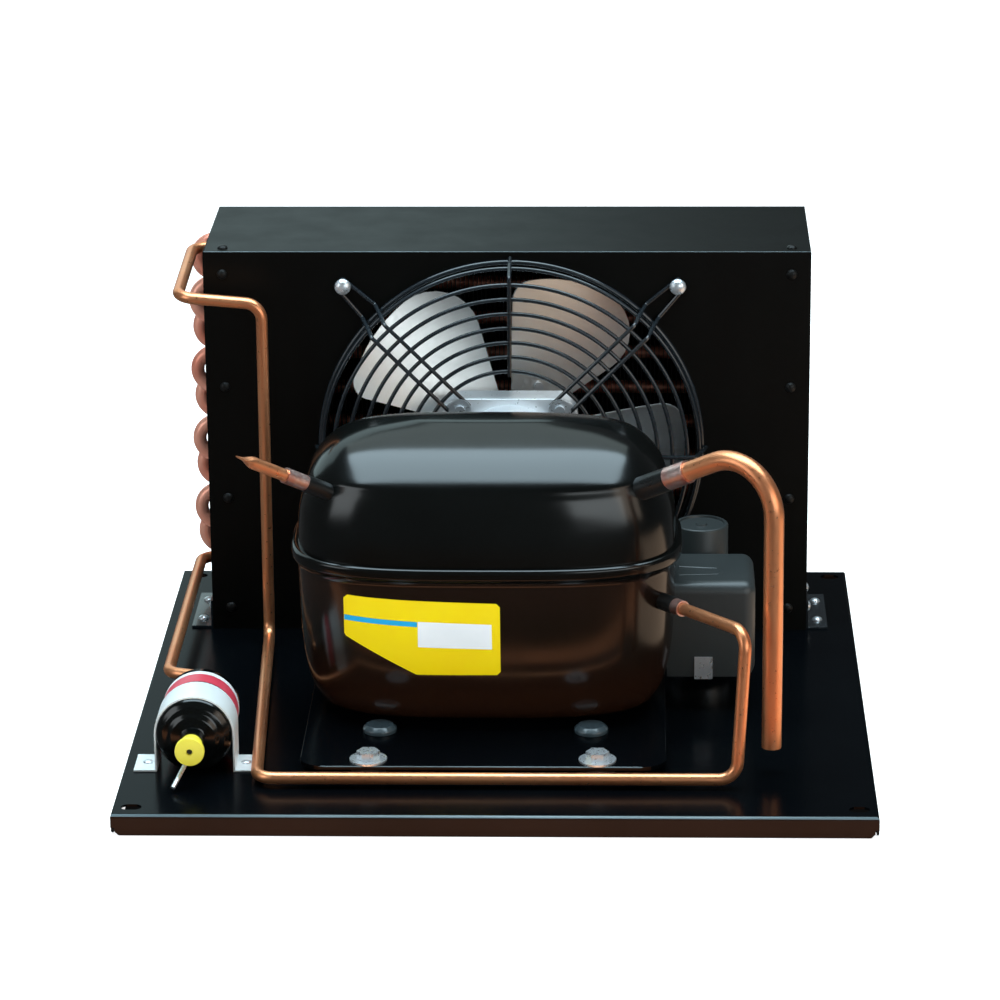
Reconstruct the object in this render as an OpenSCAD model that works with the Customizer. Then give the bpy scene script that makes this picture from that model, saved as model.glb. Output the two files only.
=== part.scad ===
// Air-cooled condensing unit: hermetic compressor, fan-cooled coil and filter drier on one tray.
// Millimetres. +X is right, +Y is the back, +Z is up. The origin is the middle of the tray's underside.

/* [Base tray] */
// Width of the tray
base_w = 480; // [470:1:540]
// Depth of the tray
base_d = 474; // [470:1:520]
// Height of the tray's folded rim
base_h = 14; // [13:0.5:24]
// Sheet thickness of the tray
base_t = 1.5; // [1:0.1:2]
// Corner cut at the rim's lower ends
rim_cut = 5; // [2:0.5:8]
// Length of a mounting slot
slot_len = 13; // [10:0.5:16]
// Half-width of a mounting slot
slot_r = 4.5; // [3:0.5:5]
// Slot centre from the tray's side edge
slot_in_x = 12; // [10:0.5:20]
// Slot centre from the tray's front or back edge
slot_in_y = 13; // [7:0.5:20]

/* [Condenser case] */
// Width of the case
case_w = 414; // [404:1:440]
// Depth of the case
case_d = 127; // [122:1:150]
// Height of the case above the tray
case_h = 272; // [270:1:300]
// Sheet thickness of the case
case_t = 1.2; // [0.8:0.1:1.5]
// Width of the folded flanges inside the case
flange_w = 21; // [16:0.5:24]
// Length of a foot bracket
foot_len = 70; // [50:1:75]
// Width of a foot bracket's sole
foot_w = 15; // [12:0.5:20]
// Height of a foot bracket's leg
foot_leg = 20; // [16:0.5:21]
// Thickness of a foot bracket
foot_t = 1.5; // [1:0.1:2]

/* [Coil] */
// Radius of the coil's tube
coil_tube_r = 4.76; // [3.5:0.01:4.9]
// Height between tubes of one row
tube_pitch = 25.4; // [24.5:0.1:25.6]
// Depth between the two rows
row_pitch = 22; // [20:0.5:23]
// Tubes in one row
tube_count = 10; // [8:2:10]
// Height of the lowest tube above the tray
coil_lift = 24.4; // [22:0.2:28]
// Depth of the fin pack
fin_depth = 44; // [42:0.5:46]
// Distance from one fin to the next
fin_pitch = 5; // [4:0.5:8]
// Thickness of one fin
fin_t = 2; // [1.5:0.1:2.5]
// Depth of the open slot between fins
fin_slot = 4.8; // [3:0.1:5]
// Coil's end plate from the case's right side
end_plate_in = 21; // [20:1:26]

/* [Fan] */
// Centre of the fan from the case's middle
fan_off_x = 2.5; // [0:0.5:6]
// Radius of the case's fan opening
fan_open_r = 127; // [124:0.5:128]
// Radius to the blades' tips
blade_tip_r = 120; // [110:0.5:121]
// Thickness of a blade
blade_t = 1.2; // [1:0.1:2]
// Number of blades
blade_count = 5; // [3:1:5]
// Angle that one blade spans
blade_span = 58; // [40:1:60]
// Tilt of a blade across the air stream
blade_pitch = 20; // [12:1:24]
// Radius of the fan's shaft
shaft_r = 4; // [3:0.1:5]
// Width of the fan motor
motor_w = 92; // [80:1:94]
// Height of the fan motor
motor_h = 82; // [70:1:84]
// Length of the fan motor's stack
motor_len = 40; // [34:1:44]

/* [Fan guard] */
// Radius of the guard's base ring, to the wire's middle
guard_r = 131; // [129:0.5:131.5]
// Radius of the base ring's wire
base_wire_r = 1.8; // [1.4:0.1:2]
// Radius of the other wires
wire_r = 1.4; // [1:0.1:1.6]
// Distance from one front ring to the next
ring_pitch = 10.1; // [9:0.1:10.4]
// Number of front rings
ring_count = 7; // [4:1:7]
// How far the guard's face stands off the case
guard_depth = 24; // [20:0.5:30]
// Guard screw from the fan's centre, sideways and up
guard_screw_off = 114; // [110:0.5:115]

/* [Compressor] */
// Distance from the tray's front edge to the compressor's middle
comp_from_front = 187; // [185:1:195]
// Sideways place of the compressor's middle
comp_x = -9; // [-12:0.5:-4]
// Width of the shell over its seam
shell_w = 255; // [246:1:258]
// Depth of the shell over its seam
shell_d = 160; // [156:1:162]
// Height of the shell
shell_h = 192; // [180:1:196]
// Height of the seam above the shell's bottom
seam_h = 111; // [106:1:114]
// Thickness of the shell
shell_t = 3; // [2:0.1:3.5]
// How far the seam stands out of the shell
seam_out = 4; // [3:0.1:5]
// Width of the mounting plate
plate_w = 234; // [230:1:238]
// Depth of the mounting plate
plate_d = 262; // [256:1:262]
// Thickness of the mounting plate
plate_t = 2.5; // [2:0.1:3]
// Height of the plate above the tray
plate_lift = 8.5; // [8:0.1:10]
// Bolt spacing sideways
bolt_span_x = 146; // [140:1:160]
// Bolt spacing front to back
bolt_span_y = 239; // [236:1:240]
// Radius of the mounting bolts
bolt_r = 4; // [3:0.1:4]

/* [Refrigerant lines] */
// Radius of the suction tube
suction_r = 6.35; // [5:0.05:6.4]
// Radius of the discharge and liquid tubes
line_r = 4; // [3:0.05:4.1]
// Wall of the copper tubes
line_wall = 0.9; // [0.7:0.05:1]
// Bend radius of the small tubes
line_bend = 12; // [10:0.5:12]
// Bend radius of the suction tube
suction_bend = 32; // [26:1:34]
// Height of the suction tube's open end above the tray
suction_end_h = 17; // [15:1:40]

/* [Filter drier] */
// Radius of the drier's body
drier_r = 24.5; // [22:0.5:25]
// Length of the drier's body between its shoulders
drier_len = 58; // [56:1:60]
// Width of the clamp
clamp_w = 28; // [20:1:30]
// Thickness of the clamp
clamp_t = 1.2; // [0.8:0.1:1.5]
// Radius of the seal cap
cap_r = 9.4; // [8:0.1:10]

/* [Electrical] */
// Width of the terminal cover, out from the shell
cover_w = 58; // [54:0.5:60]
// Depth of the terminal cover
cover_d = 68; // [60:1:69]
// Height of the terminal cover
cover_h = 65; // [60:1:67]
// Wall of the terminal cover
cover_t = 2; // [1.6:0.1:2.5]
// Radius of the start capacitor
cap_can_r = 18; // [15:0.5:18]
// Height of the start capacitor
cap_can_h = 90; // [70:1:92]

/* [Hidden] */
$fn = 64;

// Running gap between pieces that only lie beside each other
gap = 0.3;
// Radial clearance of a shaft in its bearing
run_fit = 0.05;
// Radial clearance of a tube or screw in its hole
hole_fit = 0.15;
// Overrun of every cut
over = 1;

// Places that the driving sizes give
base_top = base_h;
front_y = -base_d / 2;
case_back = base_d / 2;
case_front = case_back - case_d;
case_left = -case_w / 2;
case_right = case_w / 2;
case_top = base_top + case_h;
comp_y = front_y + comp_from_front;
plate_z = base_top + plate_lift;
shell_z = plate_z + plate_t;
shell_top = shell_z + shell_h;
seam_z = shell_z + seam_h;

// Fan motor screws from the fan's middle
motor_screw_r = 48;

// Screws of the sheet metal
screw_r = 2;
screw_head_r = 3.6;
screw_head_h = 2.4;
screw_len = 7;

// Colours
gloss_black = [0.05, 0.06, 0.07];
dark_green_black = [0.08, 0.1, 0.09];
copper = [0.8, 0.45, 0.3];
zinc = [0.78, 0.8, 0.82];
aluminium = [0.85, 0.86, 0.87];
rubber = [0.06, 0.06, 0.06];

function unit(v) = v / norm(v);
function at_share(a, b, t) = a + (b - a) * t;
function arc_points(c, r, from, to, steps) =
    [for (i = [0 : steps]) c + r * [cos(at_share(from, to, i / steps)), sin(at_share(from, to, i / steps))]];
function rounded_rect(w, h, r, steps = 6) = concat(
    arc_points([w / 2 - r, h / 2 - r], r, 0, 90, steps),
    arc_points([r - w / 2, h / 2 - r], r, 90, 180, steps),
    arc_points([r - w / 2, r - h / 2], r, 180, 270, steps),
    arc_points([w / 2 - r, r - h / 2], r, 270, 360, steps));

// A cylinder from p to q
module rod(p, q, r) {
    d = q - p;
    translate(p)
        rotate([0, acos(d.z / norm(d)), atan2(d.y, d.x)])
            cylinder(r = r, h = norm(d));
}

// A straight pipe from p to q
module pipe(p, q, r, bore_r) {
    d = q - p;
    translate(p)
        rotate([0, acos(d.z / norm(d)), atan2(d.y, d.x)])
            difference() {
                cylinder(r = r, h = norm(d));
                translate([0, 0, -over])
                    cylinder(r = bore_r, h = norm(d) + 2 * over);
            }
}

// Bent tubes: straight stretches joined by arcs, swept as one skin
function turn_at(p, i) = acos(unit(p[i] - p[i - 1]) * unit(p[i + 1] - p[i]));
function bend_steps(p, i) = max(2, ceil(turn_at(p, i) / 18));
function bend_points(p, i, r, k) =
    let (
        u = unit(p[i] - p[i - 1]),
        v = unit(p[i + 1] - p[i]),
        turn = turn_at(p, i),
        side = unit(v - u * (u * v)),
        start = p[i] - u * r * tan(turn / 2),
        middle = start + side * r,
        a = turn * k / bend_steps(p, i)
    )
    [middle + r * (u * sin(a) - side * cos(a)), u * cos(a) + side * sin(a)];
function route(p, r) = concat(
    [[p[0], unit(p[1] - p[0])]],
    [for (i = [1 : len(p) - 2]) for (k = [0 : bend_steps(p, i)]) bend_points(p, i, r, k)],
    [[p[len(p) - 1], unit(p[len(p) - 1] - p[len(p) - 2])]]);
function across(t) = unit(cross(t, abs(t.z) < 0.9 ? [0, 0, 1] : [1, 0, 0]));
function carry(n, t) = unit(n - t * (n * t));
function ring_normals(s) =
    [for (i = 0, n = across(s[0][1]); i < len(s); i = i + 1, n = carry(n, s[min(i, len(s) - 1)][1])) n];
function ring(c, t, n, r, sides) =
    [for (j = [0 : sides - 1]) c + r * (n * cos(360 * j / sides) + cross(t, n) * sin(360 * j / sides))];
function skin(from, rings, sides, flip) =
    [for (i = [0 : rings - 2]) for (j = [0 : sides - 1])
        let (
            a = from + i * sides + j,
            b = from + i * sides + (j + 1) % sides,
            c = a + sides,
            d = b + sides
        )
        each (flip ? [[a, b, d], [a, d, c]] : [[a, d, b], [a, c, d]])];
function end_ring(outer, inner, sides, flip) =
    [for (j = [0 : sides - 1])
        let (
            k = (j + 1) % sides
        )
        each (flip ? [[outer + j, inner + k, outer + k], [outer + j, inner + j, inner + k]]
                   : [[outer + j, outer + k, inner + k], [outer + j, inner + k, inner + j]])];
function end_fan(from, sides, flip) =
    [for (j = [1 : sides - 2]) flip ? [from, from + j + 1, from + j] : [from, from + j, from + j + 1]];

module swept_tube(p, bend_r, r, bore_r, sides) {
    s = route(p, bend_r);
    n = ring_normals(s);
    rings = len(s);
    shell = [for (i = [0 : rings - 1]) each ring(s[i][0], s[i][1], n[i], r, sides)];
    bore = [for (i = [0 : rings - 1]) each ring(s[i][0], s[i][1], n[i], bore_r, sides)];
    m = rings * sides;
    last = (rings - 1) * sides;
    polyhedron(
        points = concat(shell, bore),
        faces = concat(
            skin(0, rings, sides, false),
            skin(m, rings, sides, true),
            end_ring(0, m, sides, false),
            end_ring(last, m + last, sides, true)));
}

module swept_rod(p, bend_r, r, sides) {
    s = route(p, bend_r);
    n = ring_normals(s);
    rings = len(s);
    polyhedron(
        points = [for (i = [0 : rings - 1]) each ring(s[i][0], s[i][1], n[i], r, sides)],
        faces = concat(
            skin(0, rings, sides, false),
            end_fan(0, sides, false),
            end_fan((rings - 1) * sides, sides, true)));
}

// Base tray: a folded pan with open corners
grommet_x = [for (s = [-1, 1]) comp_x + s * bolt_span_x / 2];
grommet_y = [for (s = [-1, 1]) comp_y + s * bolt_span_y / 2];
bolt_hole_r = bolt_r + hole_fit;

module slot(len, r, h) {
    linear_extrude(height = h)
        union() {
            square([len - 2 * r, 2 * r], center = true);
            for (s = [-1, 1])
                translate([s * (len / 2 - r), 0])
                    circle(r = r);
        }
}

module rim_corner_cut() {
    rotate([90, 0, 0])
        translate([0, 0, -base_t - over])
            linear_extrude(height = base_t + 2 * over)
                polygon([[-rim_cut, -over], [-rim_cut, 0], [0, rim_cut], [over, rim_cut], [over, -over]]);
}

module base_tray() {
    color(gloss_black)
        difference() {
            translate([-base_w / 2, front_y, 0])
                cube([base_w, base_d, base_h]);
            translate([base_t - base_w / 2, front_y + base_t, -over])
                cube([base_w - 2 * base_t, base_d - 2 * base_t, base_h - base_t + over]);
            for (a = [0, 1], b = [0, 1])
                mirror([a, 0, 0])
                    mirror([0, b, 0]) {
                        translate([base_w / 2, front_y, 0])
                            rim_corner_cut();
                        translate([base_w / 2, front_y, 0])
                            mirror([1, 1, 0])
                                rim_corner_cut();
                    }
            for (x = [-1, 1], y = [-1, 1])
                translate([x * (base_w / 2 - slot_in_x), y * (base_d / 2 - slot_in_y), base_h - base_t - over])
                    slot(slot_len, slot_r, base_t + 2 * over);
            for (x = grommet_x, y = grommet_y)
                translate([x, y, base_h - base_t - over])
                    cylinder(r = bolt_hole_r, h = base_t + 2 * over);
            for (x = [-foot_hole_x, foot_hole_x], y = foot_hole_y)
                translate([x, y, base_h - base_t - over])
                    cylinder(r = screw_r + hole_fit, h = base_t + 2 * over);
            for (s = [-1, 1])
                translate([drier_x + s * clamp_foot_x, clamp_y, base_h - base_t - over])
                    cylinder(r = rivet_r + hole_fit, h = base_t + 2 * over);
        }
}

// Condenser case: front and top in one sheet, with side panels
fan_x = fan_off_x;
fan_z = base_top + guard_r + base_wire_r + gap + 0.5 * base_wire_r;
collar_depth = 9;
lip_h = 12;
face_screw_in = 13;
face_screw_rows = 4;
face_screw_low = 16;
top_screw_in = 9;
side_front = case_front + case_t;
side_top = case_top - case_t;
function face_screw_z(i) = base_top + face_screw_low + i * (case_h - 2 * face_screw_low) / (face_screw_rows - 1);

module case_shroud() {
    color(dark_green_black)
        difference() {
            union() {
                translate([case_left, case_front, base_top])
                    cube([case_w, case_t, case_h]);
                translate([case_left, case_front, case_top - case_t])
                    cube([case_w, case_d, case_t]);
                translate([case_left, case_back - case_t, case_top - lip_h])
                    cube([case_w, case_t, lip_h]);
                translate([fan_x, case_front + case_t + collar_depth, fan_z])
                    rotate([90, 0, 0])
                        cylinder(r = fan_open_r + case_t, h = collar_depth + case_t);
            }
            translate([fan_x, case_front + case_t + collar_depth + over, fan_z])
                rotate([90, 0, 0])
                    cylinder(r = fan_open_r, h = collar_depth + case_t + 2 * over);
            for (s = [-1, 1], i = [0 : face_screw_rows - 1])
                translate([s * (case_w / 2 - face_screw_in), case_front - over, face_screw_z(i)])
                    rotate([-90, 0, 0])
                        cylinder(r = screw_r + hole_fit, h = case_t + 2 * over);
            for (s = [-1, 1])
                translate([s * (case_w / 2 - face_screw_in), case_front + top_screw_in, case_top - case_t - over])
                    cylinder(r = screw_r + hole_fit, h = case_t + 2 * over);
            for (s = [-1, 1], t = [-1, 1])
                translate([fan_x + s * guard_screw_off, case_front - over, fan_z + t * guard_screw_off])
                    rotate([-90, 0, 0])
                        cylinder(r = guard_screw_r + hole_fit, h = case_t + 2 * over);
        }
}

// One side of the case, on the +X side: a web with a front flange and a top flange
module side_sheet() {
    difference() {
        union() {
            translate([case_right - case_t, side_front, base_top])
                cube([case_t, case_back - case_t - side_front, side_top - base_top]);
            translate([case_right - case_t - flange_w, side_front, base_top])
                cube([flange_w + over / 2, case_t, side_top - base_top - flange_w]);
            translate([case_right - case_t - flange_w, side_front, side_top - case_t])
                cube([flange_w + over / 2, case_back - case_t - side_front, case_t]);
        }
        for (i = [0 : face_screw_rows - 1])
            translate([case_w / 2 - face_screw_in, side_front - over, face_screw_z(i)])
                rotate([-90, 0, 0])
                    cylinder(r = screw_r + hole_fit, h = case_t + 2 * over);
        translate([case_w / 2 - face_screw_in, case_front + top_screw_in, side_top - case_t - over])
            cylinder(r = screw_r + hole_fit, h = case_t + 2 * over);
        for (y = foot_hole_y)
            translate([case_right - case_t - over, y, foot_side_z])
                rotate([0, 90, 0])
                    cylinder(r = screw_r + hole_fit, h = case_t + 2 * over);
    }
}

module side_panel_left() {
    color(dark_green_black)
        difference() {
            mirror([1, 0, 0])
                side_sheet();
            coil_bores(case_left - over, case_left + case_t + over);
        }
}

module side_panel_right() {
    color(dark_green_black)
        side_sheet();
}

// Foot brackets and their screws
foot_hole_y = [for (t = [0.22, 0.78]) case_front + case_t + gap + t * foot_len];
foot_hole_x = case_w / 2 + foot_t + (foot_w - foot_t) / 2;
foot_side_z = base_top + 0.6 * foot_leg;

module foot_bracket() {
    difference() {
        union() {
            translate([case_right, case_front + case_t + gap, base_top])
                cube([foot_w, foot_len, foot_t]);
            translate([case_right, case_front + case_t + gap, base_top])
                cube([foot_t, foot_len, foot_leg]);
        }
        for (y = foot_hole_y)
            translate([foot_hole_x, y, base_top - over])
                cylinder(r = screw_r + hole_fit, h = foot_t + 2 * over);
        for (y = foot_hole_y)
            translate([case_right - over, y, foot_side_z])
                rotate([0, 90, 0])
                    cylinder(r = screw_r + hole_fit, h = foot_t + 2 * over);
    }
}

module case_foot_left() {
    color(gloss_black)
        mirror([1, 0, 0])
            foot_bracket();
}

module case_foot_right() {
    color(gloss_black)
        foot_bracket();
}

// A screw whose head sits on z = 0 and whose shank goes down
module sheet_screw(r, head_r, head_h, len) {
    translate([0, 0, -len])
        cylinder(r = r, h = len + head_h / 2);
    rotate_extrude()
        polygon(concat([[0, 0], [head_r, 0]], [for (a = [15 : 15 : 90]) [head_r * cos(a), head_h * sin(a)]]));
}

module foot_screws() {
    color(zinc)
        for (m = [0, 1])
            mirror([m, 0, 0])
                for (y = foot_hole_y) {
                    translate([foot_hole_x, y, base_top + foot_t])
                        sheet_screw(screw_r, screw_head_r, screw_head_h, screw_len);
                    translate([case_right + foot_t, y, foot_side_z])
                        rotate([0, 90, 0])
                            sheet_screw(screw_r, screw_head_r, screw_head_h, screw_len);
                }
}

module shroud_screws() {
    color(gloss_black)
        for (s = [-1, 1]) {
            for (i = [0 : face_screw_rows - 1])
                translate([s * (case_w / 2 - face_screw_in), case_front, face_screw_z(i)])
                    rotate([90, 0, 0])
                        sheet_screw(screw_r, screw_head_r, screw_head_h, screw_len);
            translate([s * (case_w / 2 - face_screw_in), case_front + top_screw_in, case_top])
                sheet_screw(screw_r, screw_head_r, screw_head_h, screw_len);
        }
}

// Coil: a fin pack on ten hairpins, with return bends at the left
coil_back_in = 7;
row_y = [for (i = [0, 1]) case_back - case_t - fin_depth / 2 - coil_back_in + (i - 0.5) * row_pitch];
end_plate_x = case_right - case_t - end_plate_in;
hairpin_x = end_plate_x + 2 * case_t;
fin_left = case_left + case_t + over;
fin_right = end_plate_x - over;
fin_front = (row_y[0] + row_y[1] - fin_depth) / 2;
fin_back = fin_front + fin_depth;
function tube_z(i) = base_top + coil_lift + i * tube_pitch;
fin_top = tube_z(tube_count - 1) + tube_pitch / 2;
fin_low = tube_z(0) - tube_pitch / 2;

module coil_bores(x0, x1) {
    for (y = row_y, i = [0 : tube_count - 1])
        translate([x0, y, tube_z(i)])
            rotate([0, 90, 0])
                cylinder(r = coil_tube_r + run_fit, h = x1 - x0);
}

module coil_end_plate() {
    color(zinc)
        difference() {
            union() {
                translate([end_plate_x, fin_front, base_top])
                    cube([case_t, fin_depth, fin_top - base_top]);
                for (y = [fin_front, fin_back - case_t])
                    translate([end_plate_x, y, base_top])
                        cube([end_plate_in, case_t, fin_top - base_top]);
            }
            coil_bores(end_plate_x - over, end_plate_x + case_t + over);
        }
}

fin_count = floor((fin_right - fin_left - fin_t) / fin_pitch);
fin_x = [for (i = [0 : fin_count]) at_share(fin_left, fin_right - fin_t, i / fin_count)];
function slot_step(i, y, inner) =
    [[fin_x[i] + fin_t, y], [fin_x[i] + fin_t, inner], [fin_x[i + 1], inner], [fin_x[i + 1], y]];

module coil_fins() {
    front = [for (i = [0 : fin_count - 1]) each slot_step(i, fin_front, fin_front + fin_slot)];
    back = [for (i = [0 : fin_count - 1]) each slot_step(i, fin_back, fin_back - fin_slot)];
    color(dark_green_black)
        difference() {
            translate([0, 0, fin_low])
                linear_extrude(height = fin_top - fin_low)
                    polygon(concat(
                        [[fin_left, fin_front]],
                        front,
                        [[fin_right, fin_front], [fin_right, fin_back]],
                        [for (i = [len(back) - 1 : -1 : 0]) back[i]],
                        [[fin_left, fin_back]]));
            coil_bores(fin_left - over, fin_right + over);
        }
}

// A half-ring of tube in the XY plane, open towards -X
module u_bend(r, tube_r) {
    rotate([0, 0, -90])
        rotate_extrude(angle = 180)
            translate([r, 0])
                circle(r = tube_r);
}

leg_out = 1.5;
module coil_hairpins() {
    color(copper)
        for (i = [0 : tube_count - 1])
            translate([hairpin_x, (row_y[0] + row_y[1]) / 2, tube_z(i)])
                union() {
                    u_bend(row_pitch / 2, coil_tube_r);
                    for (s = [-1, 1])
                        translate([case_left - leg_out - hairpin_x, s * row_pitch / 2, 0])
                            rotate([0, 90, 0])
                                cylinder(r = coil_tube_r, h = hairpin_x - case_left + leg_out);
                }
}

// Front row joins tubes 2-3, 4-5 and so on; the back row joins 1-2, 3-4 and so on
module coil_return_bends() {
    color(copper)
        for (row = [0, 1], i = [1 - row : 2 : tube_count - 2])
            translate([case_left - leg_out, row_y[row], tube_z(i) + tube_pitch / 2])
                rotate([0, 180, 0])
                    rotate([90, 0, 0])
                        u_bend(tube_pitch / 2, coil_tube_r);
}

// Fan guard: rings and ribs of wire. Local +Z points out of the case
module on_case_face() {
    translate([fan_x, case_front, fan_z])
        rotate([90, 0, 0])
            children();
}

second_r = guard_r - base_wire_r;
second_z = guard_depth / 2;
first_ring_r = guard_r - ring_pitch;
function ring_r(i) = first_ring_r - i * ring_pitch;
weld_sink = 0.2;
rib_z = guard_depth + 2 * wire_r - weld_sink;

module wire_ring(r, w, z) {
    translate([0, 0, z])
        rotate_extrude()
            translate([r, 0])
                circle(r = w);
}

module guard_rings() {
    color(gloss_black)
        on_case_face() {
            wire_ring(guard_r, base_wire_r, base_wire_r + gap);
            wire_ring(second_r, wire_r, second_z);
            for (i = [0 : ring_count - 1])
                wire_ring(ring_r(i), wire_r, guard_depth);
        }
}

guard_screw_r = 2.5;
guard_head_r = 5.6;
guard_head_h = 3.6;
loop_r = guard_screw_r + hole_fit + wire_r;
rib_gap = 4.5 * wire_r;
second_step = 2 * wire_r - weld_sink;
base_step = base_wire_r + wire_r - weld_sink;
ear_r = guard_screw_off * sqrt(2);
ear_z = wire_r + gap;
shoulder_r = first_ring_r + ring_pitch / 2;

rib_in_r = motor_screw_r - guard_screw_r - hole_fit;
single_in_r = ring_r(ring_count - 1) - 2 * wire_r;

// One side of a double rib: from the motor out over the rings, down the rim and round the screw
function double_rib(s) = [
    [rib_in_r, s * rib_gap, rib_z],
    [shoulder_r, s * rib_gap, rib_z],
    [second_r + second_step, s * rib_gap, second_z],
    [guard_r + base_step + 2 * wire_r, s * rib_gap, ear_z],
    [ear_r, s * loop_r, ear_z],
    [ear_r + loop_r, s * loop_r, ear_z],
    [ear_r + loop_r, 0, ear_z]
];
// A single rib goes down outside the rings (side 1), or inside them (side -1) where the tray is close
function single_rib(side) = [
    [single_in_r, 0, rib_z],
    [shoulder_r, 0, rib_z],
    [second_r + side * second_step, 0, second_z],
    [guard_r + side * base_step, 0, base_wire_r + gap]
];

module guard_ribs() {
    color(gloss_black)
        on_case_face() {
            for (a = [45 : 90 : 315])
                rotate([0, 0, a])
                    for (s = [-1, 1])
                        swept_rod(double_rib(s), 1.5 * wire_r, wire_r, 6);
            for (a = [0 : 90 : 270])
                rotate([0, 0, a])
                    swept_rod(single_rib(a < 270 ? 1 : -1), 1.5 * wire_r, wire_r, 6);
        }
}

module guard_screws() {
    color(zinc)
        on_case_face()
            for (s = [-1, 1], t = [-1, 1])
                translate([s * guard_screw_off, t * guard_screw_off, 2 * wire_r + gap])
                    sheet_screw(guard_screw_r, guard_head_r, guard_head_h, 2 * screw_len);
}

// Fan motor: a laminated stack with a round end bell, hung on the guard's double ribs
motor_back = 4;
motor_face = rib_z - wire_r - run_fit;
motor_corner = 12;
bell_r = 37;
bell_round = 8;
bell_top = motor_back + motor_len;
shaft_in = 16;
clamp_disc_r = rib_gap + wire_r;
clamp_disc_t = 1.2;

module motor_screw_places() {
    for (a = [45 : 90 : 315])
        rotate([0, 0, a])
            translate([motor_screw_r, 0, 0])
                children();
}

module fan_motor() {
    color(aluminium)
        on_case_face()
            difference() {
                translate([0, 0, motor_back])
                    linear_extrude(height = motor_face - motor_back)
                        polygon(rounded_rect(motor_w, motor_h, motor_corner));
                translate([0, 0, motor_back - over])
                    cylinder(r = shaft_r + run_fit, h = shaft_in + over);
                motor_screw_places()
                    translate([0, 0, motor_face - 2 * screw_len])
                        cylinder(r = screw_r + hole_fit, h = 2 * screw_len + over);
            }
}

module fan_motor_end() {
    color(zinc)
        on_case_face()
            rotate_extrude()
                polygon(concat(
                    [[0, motor_face], [bell_r, motor_face]],
                    arc_points([bell_r - bell_round, bell_top - bell_round], bell_round, 0, 90, 6),
                    [[0, bell_top]]));
}

module fan_motor_screws() {
    color(zinc)
        on_case_face()
            motor_screw_places()
                translate([0, 0, rib_z + wire_r + run_fit]) {
                    cylinder(r = clamp_disc_r, h = clamp_disc_t);
                    translate([0, 0, clamp_disc_t - over])
                        cylinder(r = screw_head_r, h = over + screw_head_h);
                    translate([0, 0, -2 * screw_len + 2 * wire_r])
                        cylinder(r = screw_r, h = 2 * screw_len - wire_r);
                }
}

// Fan: paddle blades of cambered sheet, riveted to a hub with one arm for each blade
blade_mid = -24;
blade_start = 63;
camber_r = 150;
blade_root_r = 24;
blade_round = 32;
blade_corner = 11;
hub_r = 13;
hub_len = 24;
arm_in_r = 8;
arm_out_r = 46;
arm_w = 20;
arm_t = 2;
rivet_r = 2;
rivet_head_r = 3.4;
rivet_head_h = 1.5;
blade_rivet_r = [30, 40];
nut_flat = 13;
nut_h = 5;

function polar(r, a) = [r * cos(a), r * sin(a)];
function round_at(r) = blade_span / 2 - asin(r / (blade_tip_r - r));
blade_outline = concat(
    [polar(blade_root_r, -blade_span / 2)],
    arc_points(polar(blade_tip_r - blade_round, -round_at(blade_round)), blade_round,
        -90 - blade_span / 2, -round_at(blade_round), 8),
    arc_points([0, 0], blade_tip_r, -round_at(blade_round), round_at(blade_corner), 8),
    arc_points(polar(blade_tip_r - blade_corner, round_at(blade_corner)), blade_corner,
        round_at(blade_corner), 90 + blade_span / 2, 6),
    [polar(blade_root_r, blade_span / 2)]);

module blade_places() {
    on_case_face()
        for (i = [0 : blade_count - 1])
            rotate([0, 0, blade_start + 360 * i / blade_count])
                translate([0, 0, blade_mid])
                    rotate([blade_pitch, 0, 0])
                        children();
}

// A cylindrical sheet whose hollow side faces out of the case, back_off behind the blade's front skin
module cambered(back_off, t) {
    translate([0, 0, camber_r])
        rotate([0, 90, 0])
            difference() {
                cylinder(r = camber_r + back_off + t, h = blade_tip_r + over);
                translate([0, 0, -over])
                    cylinder(r = camber_r + back_off, h = blade_tip_r + 3 * over);
            }
}

module blade_rivet_holes() {
    for (x = blade_rivet_r)
        translate([x, 0, -4 * arm_t])
            cylinder(r = rivet_r + hole_fit, h = 8 * arm_t);
}

module fan_blades() {
    color(aluminium)
        blade_places()
            difference() {
                intersection() {
                    translate([0, 0, -2 * arm_t])
                        linear_extrude(height = hub_len)
                            polygon(blade_outline);
                    cambered(0, blade_t);
                }
                blade_rivet_holes();
            }
}

module fan_hub() {
    color(zinc)
        difference() {
            union() {
                on_case_face()
                    translate([0, 0, blade_mid - hub_len / 2])
                        cylinder(r = hub_r, h = hub_len);
                blade_places()
                    difference() {
                        intersection() {
                            translate([arm_in_r, -arm_w / 2, -4 * arm_t])
                                cube([arm_out_r - arm_in_r, arm_w, 6 * arm_t]);
                            cambered(blade_t + run_fit, arm_t);
                        }
                        blade_rivet_holes();
                    }
            }
            on_case_face()
                translate([0, 0, blade_mid - hub_len])
                    cylinder(r = shaft_r + run_fit, h = 2 * hub_len);
        }
}

module fan_rivets() {
    stack_t = blade_t + arm_t + 3 * run_fit;
    color(zinc)
        blade_places()
            for (x = blade_rivet_r)
                translate([x, 0, 0]) {
                    translate([0, 0, -stack_t])
                        cylinder(r = rivet_r, h = stack_t + run_fit);
                    translate([0, 0, run_fit])
                        cylinder(r = rivet_head_r, h = rivet_head_h);
                    translate([0, 0, -stack_t - rivet_head_h])
                        cylinder(r = rivet_head_r, h = rivet_head_h);
                }
}

module fan_shaft() {
    color(zinc)
        on_case_face()
            translate([0, 0, blade_mid - hub_len / 2 - 2 * nut_h])
                cylinder(r = shaft_r, h = motor_back + shaft_in - gap - blade_mid + hub_len / 2 + 2 * nut_h);
}

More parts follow.
